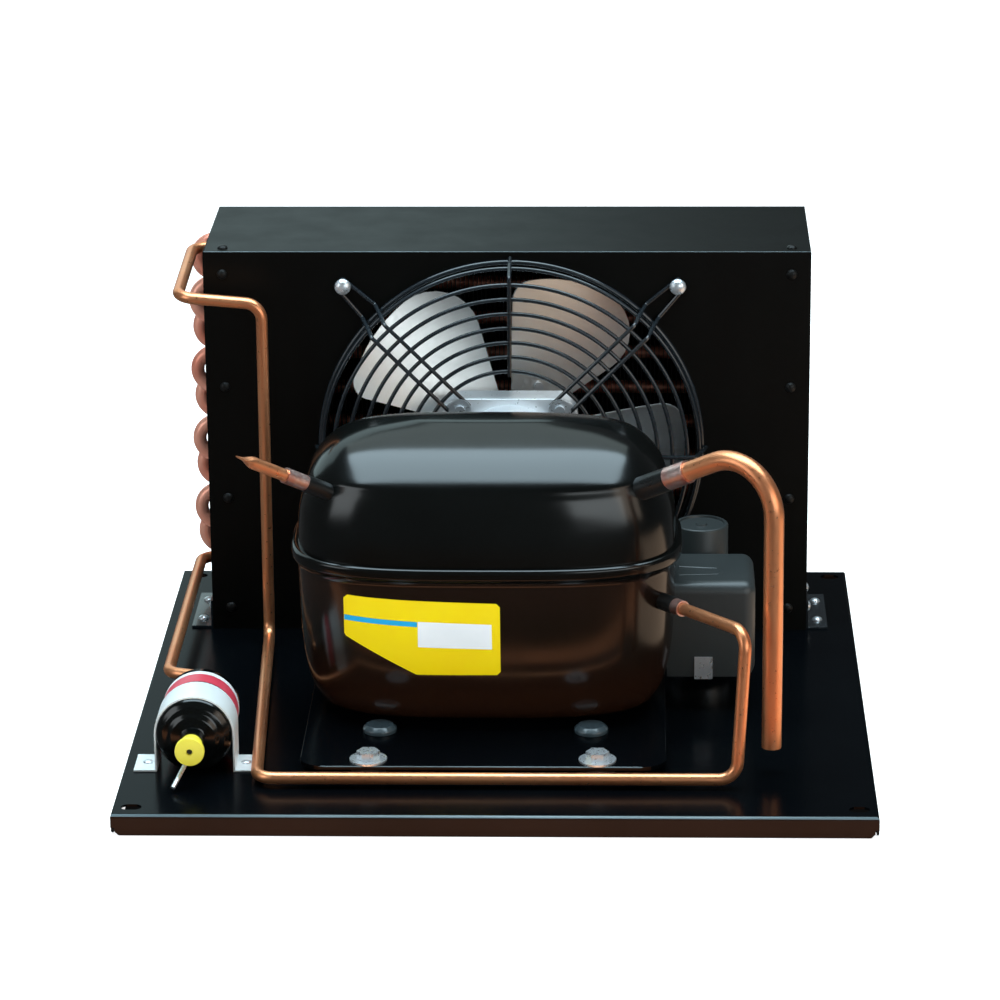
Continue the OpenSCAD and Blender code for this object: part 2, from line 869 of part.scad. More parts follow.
module fan_nut() {
    color(zinc)
        on_case_face()
            translate([0, 0, blade_mid - hub_len / 2 - nut_h])
                difference() {
                    cylinder(r = nut_flat / sqrt(3), h = nut_h, $fn = 6);
                    translate([0, 0, -over])
                        cylinder(r = shaft_r + run_fit, h = nut_h + 2 * over);
                }
}

// Mounting of the compressor
plate_corner = 16;
plate_hole_r = 9;
grommet_r = 11;
sleeve_r = 5.4;
washer_r = 12;
washer_t = 1.2;
pad_r = 11;
pad_h = 5;
pad_x = 68.5;
pad_y = 68;

module bolt_places() {
    for (x = grommet_x, y = grommet_y)
        translate([x, y, 0])
            children();
}

module mount_plate() {
    color(gloss_black)
        difference() {
            translate([comp_x, comp_y, plate_z])
                linear_extrude(height = plate_t)
                    polygon(rounded_rect(plate_w, plate_d, plate_corner, 8));
            bolt_places()
                translate([0, 0, plate_z - over])
                    cylinder(r = plate_hole_r, h = plate_t + 2 * over);
            translate([can_x - can_foot_in, can_y, plate_z - over])
                cylinder(r = screw_r + hole_fit, h = plate_t + 2 * over);
        }
}

module mount_grommets() {
    color(rubber)
        bolt_places()
            difference() {
                union() {
                    translate([0, 0, base_top])
                        cylinder(r = grommet_r, h = plate_lift);
                    translate([0, 0, plate_z - over])
                        cylinder(r = plate_hole_r - hole_fit, h = plate_t + over);
                }
                translate([0, 0, base_top - over])
                    cylinder(r = sleeve_r + hole_fit, h = plate_lift + plate_t + 2 * over);
            }
}

module mount_sleeves() {
    color(zinc)
        bolt_places()
            pipe([0, 0, base_top], [0, 0, plate_z + plate_t], sleeve_r, bolt_r + hole_fit);
}

module mount_washers() {
    color(zinc)
        bolt_places()
            pipe([0, 0, shell_z], [0, 0, shell_z + washer_t], washer_r, bolt_r + hole_fit);
}

module mount_bolts() {
    color(zinc)
        bolt_places() {
            translate([0, 0, shell_z + washer_t])
                cylinder(r = nut_flat / sqrt(3), h = nut_h, $fn = 6);
            translate([0, 0, base_top - base_t - nut_h - base_t])
                cylinder(r = bolt_r, h = shell_z + washer_t + over - base_top + 2 * base_t + nut_h);
        }
}

module mount_nuts() {
    color(zinc)
        bolt_places()
            translate([0, 0, base_top - base_t - nut_h])
                difference() {
                    cylinder(r = nut_flat / sqrt(3), h = nut_h, $fn = 6);
                    translate([0, 0, -over])
                        cylinder(r = bolt_r + run_fit, h = nut_h + 2 * over);
                }
}

module weld_pads() {
    color(zinc)
        for (s = [-1, 1], t = [-1, 1])
            translate([comp_x + s * pad_x, comp_y + t * pad_y, shell_z])
                rotate_extrude()
                    polygon([[0, 0], [pad_r, 0], [pad_r, pad_h / 2], [pad_r - pad_h / 2, pad_h], [0, pad_h]]);
}

// Compressor shell: two deep-drawn cups, the upper one set into the flared rim of the lower one
shell_sides = 64;
shell_power = 3.2;
half_w = shell_w / 2 - seam_out;
half_d = shell_d / 2 - seam_out;
rim_low = 6.5;
rim_up = 2;
ledge_z = seam_z - rim_low + seam_out / 2;
// Height, width and depth of each ring of the lower cup, as shares of its full size
lower_shares = [[0, 0.685, 0.55], [0.045, 0.85, 0.76], [0.117, 0.911, 0.865], [0.225, 0.952, 0.93],
    [0.45, 0.984, 0.98], [0.9, 1, 1]];
// Height, width and depth of each ring of the upper cup, from the seam up
upper_shares = [[0.2, 0.995, 0.985], [0.346, 0.984, 0.967], [0.506, 0.952, 0.94], [0.6, 0.932, 0.905],
    [0.67, 0.907, 0.865], [0.79, 0.84, 0.72], [0.877, 0.758, 0.55], [0.951, 0.6, 0.33], [1, 0.36, 0.15]];

function oval(a, b, z, m) =
    [for (j = [0 : m - 1])
        let (
            c = cos(360 * j / m),
            s = sin(360 * j / m)
        )
        [a * sign(c) * pow(abs(c), 2 / shell_power), b * sign(s) * pow(abs(s), 2 / shell_power), z]];

module stacked(rows) {
    n = len(rows);
    polyhedron(
        points = [for (r = rows) each oval(r[0], r[1], r[2], shell_sides)],
        faces = concat(
            skin(0, n, shell_sides, false),
            end_fan(0, shell_sides, false),
            end_fan((n - 1) * shell_sides, shell_sides, true)));
}

function cup_row(share, full_h, inset, up) =
    [share[1] * (half_w - inset), share[2] * (half_d - inset),
        up * (up > 0 ? share[0] : 1 - share[0]) * (full_h - inset)];
lower_outer = [for (s = lower_shares) cup_row(s, seam_h, 0, -1)];
lower_inner = [for (s = lower_shares) cup_row(s, seam_h, shell_t, -1)];
upper_outer = [for (s = upper_shares) cup_row(s, shell_h - seam_h, 0, 1)];
upper_inner = [for (s = upper_shares) cup_row(s, shell_h - seam_h, shell_t, 1)];
function turned(list) = [for (i = [len(list) - 1 : -1 : 0]) list[i]];

module in_shell() {
    translate([comp_x, comp_y, seam_z])
        children();
}

// Tubes leave the shell at these shares of its width, depth and height
suction_share = [0.396, -0.3, 0.828];
process_share = [-0.3933, -0.3125, 0.817];
discharge_share = [0.4431, -0.28125, 0.427];
function on_shell(share) =
    [comp_x + share.x * shell_w, comp_y + share.y * shell_d, shell_z + share.z * shell_h];

stub_in = 6;
stub_in_line = 9;
suction_stub_len = 24;
suction_stub_r = 7.75;
process_stub_len = 20;
process_stub_r = 5.6;
discharge_stub_len = 19;
discharge_stub_r = 5.6;
collar_len = 17;
collar_wall = 1;
line_lift = 6;
front_run_in = 48;
front_run_right = 33.5;
discharge_clear = 39;
discharge_rise = 91;
riser_off = 30;
riser_clear = 39;
riser_x = comp_x - plate_w / 2 - riser_clear;
riser_y = case_front - riser_off;
riser_lean = 13;
inlet_z = tube_z(tube_count - 1);
inlet_drop = 10;
line_out = 15;
discharge_turn = [comp_x + shell_w / 2 + discharge_clear, front_y + front_run_in + line_bend - line_r,
    shell_z + discharge_rise];
suction_clear = [56.3, 30, 18.5];
suction_turn = [comp_x + shell_w / 2 + suction_clear.x, comp_y - shell_d / 2 - suction_clear.y,
    shell_top + suction_clear.z];
suction_end = [suction_turn.x, suction_turn.y, base_top + suction_end_h];
suction_dir = unit(suction_turn - on_shell(suction_share));
process_reach = [52.2, 40, 35.2];
process_dir = unit([-process_reach.x, -process_reach.y, process_reach.z]);
process_len = norm(process_reach);
front_run_y = front_y + front_run_in;
line_z = base_top + line_lift;
discharge_path = [
    on_shell(discharge_share) + stub_in_line * unit(discharge_turn - on_shell(discharge_share)),
    discharge_turn,
    [comp_x + shell_w / 2 + front_run_right, front_run_y, line_z],
    [riser_x + riser_lean, front_run_y, line_z],
    [riser_x, riser_y, line_z],
    [riser_x, riser_y, inlet_z - inlet_drop],
    [case_left - line_out, riser_y, inlet_z - inlet_drop / 2],
    [case_left - line_out, row_y[0], inlet_z],
    [case_left - leg_out, row_y[0], inlet_z]
];
discharge_dir = unit(discharge_turn - on_shell(discharge_share));

// Filter drier, its clamp, its outlet tube and its cap
drier_off_tray = 1;
drier_in = 72;
drier_side_in = 13.5;
drier_x = case_left + drier_side_in;
drier_z = base_top + drier_r + drier_off_tray;
drier_front = front_y + drier_in;
drier_shell_t = 1.5;
neck_r = 8;
neck_len = 9;
shoulder_len = 7;
rear_cone_len = 20;
rear_neck_len = 14;
rear_neck_r = line_r + hole_fit + drier_shell_t;
outlet_r = 5;
outlet_out = 10;
outlet_in = 8;
cap_len = 14;
cap_front_t = 4;
tail_r = 1.5;
drier_back = drier_front + drier_len;
rear_cone_r = rear_neck_r + drier_shell_t;
clamp_y = drier_front + clamp_w / 2 + clamp_t;
clamp_leg = 7;
clamp_foot = 15;
clamp_foot_x = drier_r + run_fit + clamp_leg;
clamp_out = drier_r + run_fit + clamp_foot;
drier_rear_end = drier_back + rear_cone_len + rear_neck_len;

liquid_turn_off = 4;
liquid_rear_y = comp_y + liquid_turn_off;
liquid_path = [
    [case_left - leg_out, row_y[0], tube_z(0)],
    [case_left - line_out, row_y[0], tube_z(0)],
    [case_left - line_out, liquid_rear_y, tube_z(0)],
    [drier_x, liquid_rear_y - line_bend, drier_z],
    [drier_x, drier_rear_end - rear_neck_len / 2, drier_z]
];

// The drier's own axis: local +Z points to the back
module on_drier_axis() {
    translate([drier_x, drier_front, drier_z])
        rotate([-90, 0, 0])
            children();
}

module shell_stub(share, dir, len, r, bore_r) {
    pipe(on_shell(share) - stub_in * dir, on_shell(share) + len * dir, r, bore_r);
}

module shell_hole(share, dir, r) {
    rod(on_shell(share) - 2 * stub_in * dir, on_shell(share) + 2 * stub_in * dir, r + hole_fit);
}

module shell_lower() {
    color(gloss_black)
        difference() {
            in_shell()
                stacked(concat(
                    lower_outer,
                    [[half_w, half_d, -rim_low],
                        [half_w + seam_out, half_d + seam_out, seam_out / 2 - rim_low],
                        [half_w + seam_out, half_d + seam_out, rim_up - run_fit],
                        [half_w + seam_out / 2, half_d + seam_out / 2, rim_up + seam_out / 4],
                        [half_w + hole_fit, half_d + hole_fit, rim_up],
                        [half_w + hole_fit, half_d + hole_fit, ledge_z - seam_z],
                        [half_w - shell_t, half_d - shell_t, ledge_z - seam_z]],
                    turned(lower_inner)));
            shell_hole(discharge_share, discharge_dir, discharge_stub_r);
            for (p = pin_places)
                translate([comp_x, p.x, p.y])
                    rotate([0, 90, 0])
                        cylinder(r = pin_r + hole_fit, h = shell_w);
        }
}

module shell_upper() {
    color(gloss_black)
        difference() {
            in_shell()
                stacked(concat(
                    turned(upper_inner),
                    [[half_w - shell_t, half_d - shell_t, ledge_z - seam_z + run_fit],
                        [half_w, half_d, ledge_z - seam_z + run_fit]],
                    upper_outer));
            shell_hole(suction_share, suction_dir, suction_stub_r);
            shell_hole(process_share, process_dir, process_stub_r);
        }
}

module suction_stub() {
    color(gloss_black)
        shell_stub(suction_share, suction_dir, suction_stub_len, suction_stub_r, suction_r + hole_fit);
}

module process_stub() {
    color(gloss_black)
        shell_stub(process_share, process_dir, process_stub_len, process_stub_r, line_r + hole_fit);
}

module discharge_stub() {
    color(gloss_black)
        shell_stub(discharge_share, discharge_dir, discharge_stub_len, discharge_stub_r, line_r + hole_fit);
}

// Refrigerant lines
line_sides = 12;
suction_sides = 16;
module suction_line() {
    top = suction_turn.z - 2 * suction_bend;
    color(copper)
        union() {
            swept_tube([on_shell(suction_share) + stub_in_line * suction_dir, suction_turn,
                [suction_turn.x, suction_turn.y, top - 2 * suction_r]],
                suction_bend, suction_r - run_fit, (suction_r - line_wall + run_fit) / cos(180 / suction_sides),
                suction_sides);
            pipe(suction_end, [suction_turn.x, suction_turn.y, top], suction_r, suction_r - line_wall);
        }
}

module discharge_line() {
    color(copper)
        swept_tube(discharge_path, line_bend, line_r, line_r - line_wall, line_sides);
}

module liquid_line() {
    color(copper)
        swept_tube(liquid_path, line_bend, line_r, line_r - line_wall, line_sides);
}

// Charging tube, pinched shut at its tip
pinch_len = 9;
pinch_w = 5.6;
pinch_t = 1.6;
module process_tube() {
    root = on_shell(process_share);
    neck = root + (process_len - pinch_len) * process_dir;
    color(copper)
        union() {
            rod(root + stub_in_line * process_dir, neck, line_r);
            translate(neck)
                rotate([0, acos(process_dir.z), atan2(process_dir.y, process_dir.x)])
                    hull() {
                        translate([0, 0, -over])
                            cylinder(r = line_r - run_fit, h = over, $fn = 24);
                        translate([-pinch_t / 2, -pinch_w, pinch_len - over])
                            cube([pinch_t, 2 * pinch_w, over]);
                    }
        }
}

module collar(share, dir, from, line) {
    pipe(on_shell(share) + from * dir, on_shell(share) + (from + collar_len) * dir,
        line + hole_fit + collar_wall, line + hole_fit);
}

module braze_collars() {
    color(copper) {
        collar(suction_share, suction_dir, suction_stub_len + run_fit, suction_r);
        collar(process_share, process_dir, process_stub_len + run_fit, line_r);
        pipe(on_shell(discharge_share) + (discharge_stub_len + run_fit) * discharge_dir,
            on_shell(discharge_share) + (discharge_stub_len + collar_len / 2) * discharge_dir,
            line_r + hole_fit + collar_wall, line_r + hole_fit);
        for (z = [tube_z(0), inlet_z])
            pipe([case_left - leg_out - collar_len / 8, row_y[0], z], [case_left - leg_out, row_y[0], z],
                coil_tube_r, line_r + hole_fit);
    }
}

module filter_drier() {
    t = drier_shell_t;
    color(gloss_black)
        on_drier_axis()
            rotate_extrude()
                polygon([
                    [outlet_r + hole_fit, -shoulder_len - neck_len],
                    [neck_r, -shoulder_len - neck_len],
                    [neck_r, -shoulder_len],
                    [neck_r + shoulder_len, -shoulder_len],
                    [drier_r - t, -t],
                    [drier_r, t],
                    [drier_r, drier_len - t],
                    [drier_r - t, drier_len + t],
                    [rear_cone_r, drier_len + rear_cone_len],
                    [rear_neck_r, drier_len + rear_cone_len + t],
                    [rear_neck_r, drier_len + rear_cone_len + rear_neck_len],
                    [line_r + hole_fit, drier_len + rear_cone_len + rear_neck_len],
                    [line_r + hole_fit, drier_len + rear_cone_len],
                    [drier_r - 2 * t, drier_len],
                    [drier_r - t, drier_len - t],
                    [drier_r - t, t],
                    [drier_r - 2 * t, 0],
                    [neck_r + shoulder_len - t, t - shoulder_len],
                    [outlet_r + hole_fit, t - shoulder_len]
                ]);
}

module drier_core() {
    color(aluminium)
        on_drier_axis()
            translate([0, 0, drier_shell_t])
                cylinder(r = drier_r - drier_shell_t - run_fit, h = drier_len - 2 * drier_shell_t);
}

module drier_outlet() {
    color(copper)
        on_drier_axis()
            pipe([0, 0, -shoulder_len - neck_len - outlet_out], [0, 0, outlet_in - shoulder_len - neck_len],
                outlet_r, line_r + hole_fit);
}

module drier_tail() {
    color(copper)
        on_drier_axis()
            swept_rod([[-tail_r, neck_r + tail_r + gap, gap - tail_r - shoulder_len],
                [-2 * tail_r, neck_r + 2 * tail_r, -shoulder_len - neck_len],
                [-4 * neck_r / 3, drier_z - base_top - 2 * tail_r, -shoulder_len - 3 * neck_len]],
                2 * tail_r, tail_r, 8);
}

module seal_cap() {
    color([0.95, 0.78, 0.1])
        on_drier_axis()
            translate([0, 0, -shoulder_len - neck_len - gap - cap_len])
                difference() {
                    union() {
                        cylinder(r = cap_r, h = cap_front_t);
                        cylinder(r = outlet_r + cap_front_t / 2, h = cap_len);
                    }
                    translate([0, 0, cap_len - outlet_out - gap])
                        cylinder(r = outlet_r + run_fit, h = outlet_out + gap + over);
                }
}

module drier_clamp() {
    r = drier_r + run_fit;
    low = base_top - drier_z;
    color(zinc)
        translate([drier_x, clamp_y - clamp_w / 2, drier_z])
            rotate([90, 0, 0])
                mirror([0, 0, 1])
                    difference() {
                        union() {
                            linear_extrude(height = clamp_w)
                                polygon(concat(
                                    [[clamp_out, low], [clamp_out, low + clamp_t], [r + clamp_t, low + clamp_t]],
                                    arc_points([0, 0], r + clamp_t, 0, 180, 24),
                                    [[-r - clamp_t, low + clamp_t], [-clamp_out, low + clamp_t], [-clamp_out, low],
                                        [-r, low]],
                                    turned(arc_points([0, 0], r, 0, 180, 24)),
                                    [[r, low]]));
                        }
                        for (s = [-1, 1])
                            translate([s * clamp_foot_x, low - over, clamp_w / 2])
                                rotate([-90, 0, 0])
                                    cylinder(r = rivet_r + hole_fit, h = clamp_t + 2 * over);
                    }
}

module clamp_rivets() {
    color(zinc)
        for (s = [-1, 1])
            translate([drier_x + s * clamp_foot_x, clamp_y, base_top + clamp_t])
                sheet_screw(rivet_r, rivet_head_r, rivet_head_h, screw_len);
}

// Pump inside the shell
stator_w = 116;
stator_d = 100;
stator_low = 24;
stator_h = 48;
winding_r = 46;
winding_h = 12;
rotor_r = 32;
air_gap = 0.5;
crank_r = 8;
crank_disc_r = 20;
crank_throw = 8;
block_t = 10;
cylinder_r = 14;
spring_r = 6;
spring_wire_r = 1.2;
spring_x = 46;
spring_y = 28;

module in_pump() {
    translate([comp_x, comp_y, shell_z])
        children();
}

module pump_stator() {
    color(zinc)
        in_pump()
            difference() {
                union() {
                    translate([0, 0, stator_low])
                        linear_extrude(height = stator_h)
                            polygon(rounded_rect(stator_w, stator_d, 2 * spring_r));
                    translate([0, 0, stator_low - winding_h])
                        cylinder(r = winding_r, h = stator_h + 2 * winding_h);
                }
                translate([0, 0, stator_low - 2 * winding_h])
                    cylinder(r = rotor_r + air_gap, h = stator_h + 4 * winding_h);
            }
}

block_z = stator_low + stator_h + winding_h + crank_r;
crank_z = block_z + block_t + air_gap;
module pump_rotor() {
    color(zinc)
        in_pump() {
            translate([0, 0, stator_low - air_gap])
                cylinder(r = rotor_r, h = stator_h + 2 * air_gap);
            translate([0, 0, winding_h / 2])
                cylinder(r = crank_r, h = crank_z - winding_h / 2 + air_gap);
            translate([0, 0, crank_z])
                cylinder(r = crank_disc_r, h = block_t);
            translate([crank_throw, 0, crank_z + air_gap])
                cylinder(r = crank_r - crank_throw / 4, h = 2 * block_t);
        }
}

module pump_block() {
    rail = crank_disc_r + air_gap + crank_r;
    color(zinc)
        in_pump()
            difference() {
                union() {
                    translate([0, 0, block_z])
                        linear_extrude(height = block_t)
                            polygon(rounded_rect(stator_w, stator_d - block_t, 2 * spring_r));
                    translate([rail, -2 * cylinder_r + crank_r / 2, block_z + block_t - over])
                        cube([stator_w / 2 + crank_r - rail, 4 * cylinder_r - crank_r, 3 * cylinder_r + over]);
                    for (s = [-1, 1], t = [-1, 1])
                        translate([s * (stator_w / 2 - spring_r - over), t * (stator_d / 2 - 2 * spring_r),
                            stator_low + stator_h])
                            cylinder(r = spring_r - over, h = block_z - stator_low - stator_h + over);
                }
                translate([0, 0, block_z - over])
                    cylinder(r = crank_r + run_fit, h = block_t + 2 * over);
                translate([rail - over, 0, block_z + block_t + 1.5 * cylinder_r])
                    rotate([0, 90, 0])
                        cylinder(r = cylinder_r, h = stator_w / 2 - rail);
            }
}

spring_turns = 3;
spring_steps = 10;
spring_sides = 5;
module pump_springs() {
    low = shell_t + spring_wire_r + gap;
    rise = stator_low - gap - spring_wire_r - low;
    n = spring_turns * spring_steps;
    color(zinc)
        in_pump()
            for (s = [-1, 1], t = [-1, 1])
                translate([s * spring_x, t * spring_y, low])
                    polyhedron(
                        points = [for (i = [0 : n]) for (j = [0 : spring_sides - 1])
                            let (
                                a = 360 * i / spring_steps,
                                b = 360 * j / spring_sides,
                                r = spring_r - spring_wire_r + spring_wire_r * cos(b)
                            )
                            [r * cos(a), r * sin(a), rise * i / n - spring_wire_r * sin(b)]],
                        faces = concat(
                            skin(0, n + 1, spring_sides, false),
                            end_fan(0, spring_sides, false),
                            end_fan(n * spring_sides, spring_sides, true)));
}

// Electrical parts on the compressor's right end
pin_r = 1.6;
pin_spread = 8;
term_y = comp_y + cover_d / 2;
term_z = shell_z + 45;
pin_places = [[term_y, term_z + pin_spread], [term_y - pin_spread, term_z - pin_spread / 2],
    [term_y + pin_spread, term_z - pin_spread / 2]];
cover_low = 13;
cover_z = shell_z + cover_low;
cover_out = 48.5;
cover_right = comp_x + shell_w / 2 + cover_out;
relay_x = comp_x + shell_w / 2 - seam_out + 2 * air_gap;
relay_size = [26, 34, 32];
fence_w = 44;
fence_h = 42;
fence_len = 9;

module terminal_pins() {
    color(zinc)
        for (p = pin_places)
            translate([comp_x + half_w - relay_size.x / 2, p.x, p.y])
                rotate([0, 90, 0])
                    cylinder(r = pin_r, h = relay_size.x);
}

// Space that the lower cup takes, with a clearance round it
module shell_space(clear) {
    in_shell()
        stacked([for (s = lower_shares) cup_row(s, seam_h, -clear, -1)]);
}

module terminal_fence() {
    w = cover_t / 2 + air_gap / 2;
    color(zinc)
        difference() {
            translate([relay_x - fence_len, term_y - fence_w / 2, term_z - fence_h / 2])
                cube([2 * fence_len, fence_w, fence_h]);
            translate([relay_x - fence_len - over, term_y - fence_w / 2 + w, term_z - fence_h / 2 + w])
                cube([2 * fence_len + 2 * over, fence_w - 2 * w, fence_h - 2 * w]);
            shell_space(run_fit);
        }
}

module start_relay() {
    color(rubber)
        difference() {
            translate([relay_x, term_y - relay_size.y / 2, term_z - relay_size.z / 2])
                cube(relay_size);
            for (p = pin_places)
                translate([relay_x - over, p.x, p.y])
                    rotate([0, 90, 0])
                        cylinder(r = pin_r + hole_fit, h = relay_size.x / 2 + over);
        }
}

cover_round = 9;
module cover_form(inset, depth) {
    w = cover_w - inset;
    h = cover_h - 2 * inset;
    r = cover_round - inset;
    translate([cover_right - cover_w, comp_y + inset + depth, cover_z + inset])
        rotate([90, 0, 0])
            linear_extrude(height = depth)
                polygon(concat(
                    [[0, 0], [w, 0]],
                    arc_points([w - r, h - r], r, 0, 90, 6),
                    [[0, h]]));
}

module terminal_cover() {
    color(rubber)
        difference() {
            cover_form(0, cover_d);
            translate([-over, 0, 0])
                cover_form(cover_t, cover_d - 2 * cover_t);
            shell_space(gap);
        }
}

clip_w = 12;
clip_h = 14;
clip_t = 1.2;
module cover_clip() {
    color(zinc)
        translate([cover_right - cover_w + 2 * clip_w - clip_w / 2, comp_y - clip_t - run_fit, cover_z]) {
            cube([clip_w, clip_t, clip_h]);
            translate([0, 0, -clip_t - run_fit])
                cube([clip_w, clip_h, clip_t]);
            translate([0, 0, -clip_t - run_fit])
                cube([clip_w, clip_t, 2 * clip_t]);
        }
}

can_x = comp_x + plate_w / 2 + 24.5;
can_y = comp_y + cover_d + cap_can_r + 2 * air_gap;
can_foot_in = 36;
can_cup_h = 10;
can_strip_t = 1.5;
can_lid_h = 3;
module start_capacitor() {
    z = shell_z + can_strip_t;
    color(rubber)
        translate([can_x, can_y, z]) {
            cylinder(r = cap_can_r, h = cap_can_h - can_lid_h);
            translate([0, 0, cap_can_h - can_lid_h - over])
                cylinder(r = cap_can_r - can_strip_t, h = over + can_lid_h);
        }
}

module capacitor_bracket() {
    color(zinc)
        difference() {
            union() {
                translate([can_x, can_y, shell_z])
                    cylinder(r = cap_can_r + hole_fit + clamp_t, h = can_cup_h);
                translate([can_x - can_foot_in - screw_len, can_y - screw_len, shell_z])
                    cube([can_foot_in + screw_len, 2 * screw_len, can_strip_t]);
            }
            translate([can_x, can_y, shell_z + can_strip_t])
                cylinder(r = cap_can_r + hole_fit, h = can_cup_h);
            translate([can_x - can_foot_in, can_y, shell_z - over])
                cylinder(r = screw_r + hole_fit, h = can_strip_t + 2 * over);
        }
}

base_tray();
case_shroud();
side_panel_left();
side_panel_right();
coil_end_plate();
coil_fins();
coil_hairpins();
coil_return_bends();
case_foot_left();
case_foot_right();
foot_screws();
shroud_screws();
guard_rings();
guard_ribs();
guard_screws();
fan_motor();
fan_motor_end();
fan_motor_screws();
fan_shaft();
fan_hub();
fan_blades();
fan_rivets();
fan_nut();
mount_plate();
mount_grommets();
mount_sleeves();
mount_bolts();
mount_washers();
mount_nuts();
weld_pads();
shell_lower();
shell_upper();
suction_stub();
process_stub();
discharge_stub();
pump_block();
pump_stator();
pump_rotor();
pump_springs();
terminal_pins();
terminal_fence();
start_relay();
terminal_cover();
cover_clip();
start_capacitor();
capacitor_bracket();
suction_line();
discharge_line();
liquid_line();
process_tube();
braze_collars();
filter_drier();
drier_core();
drier_clamp();
clamp_rivets();
drier_outlet();
drier_tail();
seal_cap();
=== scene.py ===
"""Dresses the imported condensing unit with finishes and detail, and sets its studio."""

import logging
import math
from collections.abc import Callable
from dataclasses import dataclass
from enum import Enum

import bpy
from mathutils import Matrix, Vector


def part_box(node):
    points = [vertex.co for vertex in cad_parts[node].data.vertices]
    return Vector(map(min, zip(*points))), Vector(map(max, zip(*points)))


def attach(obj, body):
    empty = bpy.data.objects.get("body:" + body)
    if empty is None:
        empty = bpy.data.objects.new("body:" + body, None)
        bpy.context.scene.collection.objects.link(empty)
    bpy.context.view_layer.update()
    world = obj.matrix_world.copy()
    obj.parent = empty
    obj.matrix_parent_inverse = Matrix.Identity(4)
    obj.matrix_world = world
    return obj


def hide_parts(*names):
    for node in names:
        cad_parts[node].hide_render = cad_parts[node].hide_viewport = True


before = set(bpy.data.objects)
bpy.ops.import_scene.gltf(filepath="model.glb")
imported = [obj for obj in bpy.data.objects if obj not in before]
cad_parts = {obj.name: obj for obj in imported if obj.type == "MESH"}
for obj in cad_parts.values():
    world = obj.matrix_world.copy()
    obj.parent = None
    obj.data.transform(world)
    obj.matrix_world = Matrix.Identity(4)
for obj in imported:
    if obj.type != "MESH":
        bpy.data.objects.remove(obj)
log = logging.getLogger("condensing_unit")

Point = tuple[float, float, float]
Pair = tuple[float, float]
Colour = tuple[float, float, float]

# Noises in cycles a metre: broad clouds of colour and finer smears, which run down a piece.
CLOUD = 9.0
SMEAR = 38.0
RUNS_DOWN: Point = (1, 1, 0.35)
MARKS = 420.0

# Tolerances in metres: merged points, and points that lie on a face.
MERGED = 1e-6
NEAR = 1e-4


def metres(p: Point) -> Vector:
    """Turns a point in millimetres into metres.

    Args:
        p: The point in millimetres.

    Returns:
        The same point in metres.
    """
    return Vector(p) / 1000.0


class Nodes:
    """A small builder of node trees that read Object coordinates."""

    def __init__(self, name: str) -> None:
        """Starts a material with a Principled shader.

        Args:
            name: The material's name.
        """
        self.material = bpy.data.materials.new(name)
        self.material.use_nodes = True
        self.tree = self.material.node_tree
        self.shader = self.tree.nodes["Principled BSDF"]
        self.coords = self.tree.nodes.new("ShaderNodeTexCoord")

    def new(self, kind: str, **values: object) -> bpy.types.Node:
        """Adds a node.

        Args:
            kind: Its type's name.
            values: Its sockets and properties by name, with spaces written as underscores.

        Returns:
            The node.
        """
        node = self.tree.nodes.new(kind)
        for key, value in values.items():
            socket = node.inputs.get(key.replace("_", " "))
            if socket is not None:
                socket.default_value = value
            else:
                setattr(node, key, value)
        return node

    def link(self, source: bpy.types.NodeSocket, target: bpy.types.NodeSocket) -> None:
        """Joins two sockets."""
        self.tree.links.new(source, target)

    def noise(self, scale: float, detail: float = 2.0, stretch: Point = (1, 1, 1)) -> bpy.types.NodeSocket:
        """Adds a noise on Object coordinates.

        Args:
            scale: Cycles in a metre.
            detail: Octaves.
            stretch: Scale of each axis.

        Returns:
            The noise's factor socket.
        """
        mapping = self.new("ShaderNodeMapping")
        mapping.inputs["Scale"].default_value = stretch
        self.link(self.coords.outputs["Object"], mapping.inputs["Vector"])
        noise = self.new("ShaderNodeTexNoise", Scale=scale, Detail=detail)
        self.link(mapping.outputs["Vector"], noise.inputs["Vector"])
        return noise.outputs["Fac"]

    def colour(self, factor: bpy.types.NodeSocket, stops: list[tuple[float, Colour]]) -> None:
        """Gives the shader its colour.

        Args:
            factor: What the colour follows.
            stops: Places from 0 to 1 and their colours.
        """
        node = self.new("ShaderNodeValToRGB")
        self.link(factor, node.inputs["Fac"])
        elements = node.color_ramp.elements
        while len(elements) < len(stops):
            elements.new(0.5)
        for element, (place, colour) in zip(elements, stops):
            element.position = place
            element.color = (*colour, 1.0)
        self.link(node.outputs["Color"], self.shader.inputs["Base Color"])

    def roughen(self, texture: bpy.types.NodeSocket, roughness: float, least: float, most: float) -> None:
        """Gives the shader a roughness that a noise varies.

        Args:
            texture: The noise, whose middle range is used.
            roughness: The finish's roughness.
            least: Its smallest share.
            most: Its largest share.
        """
        node = self.new("ShaderNodeMapRange")
        node.inputs["From Min"].default_value = 0.3
        node.inputs["From Max"].default_value = 0.7
        node.inputs["To Min"].default_value = roughness * least
        node.inputs["To Max"].default_value = roughness * most
        self.link(texture, node.inputs["Value"])
        self.link(node.outputs["Result"], self.shader.inputs["Roughness"])

    def bump(self, height: bpy.types.NodeSocket, strength: float, distance: float) -> None:
        """Gives the shader a bump.

        Args:
            height: The bump's height.
            strength: Its strength from 0 to 1.
            distance: Its depth in metres.
        """
        node = self.new("ShaderNodeBump", Strength=strength, Distance=distance)
        self.link(height, node.inputs["Height"])
        self.link(node.outputs["Normal"], self.shader.inputs["Normal"])

    def set(self, **values: object) -> None:
        """Sets sockets of the shader, with spaces written as underscores."""
        for key, value in values.items():
            self.shader.inputs[key.replace("_", " ")].default_value = value


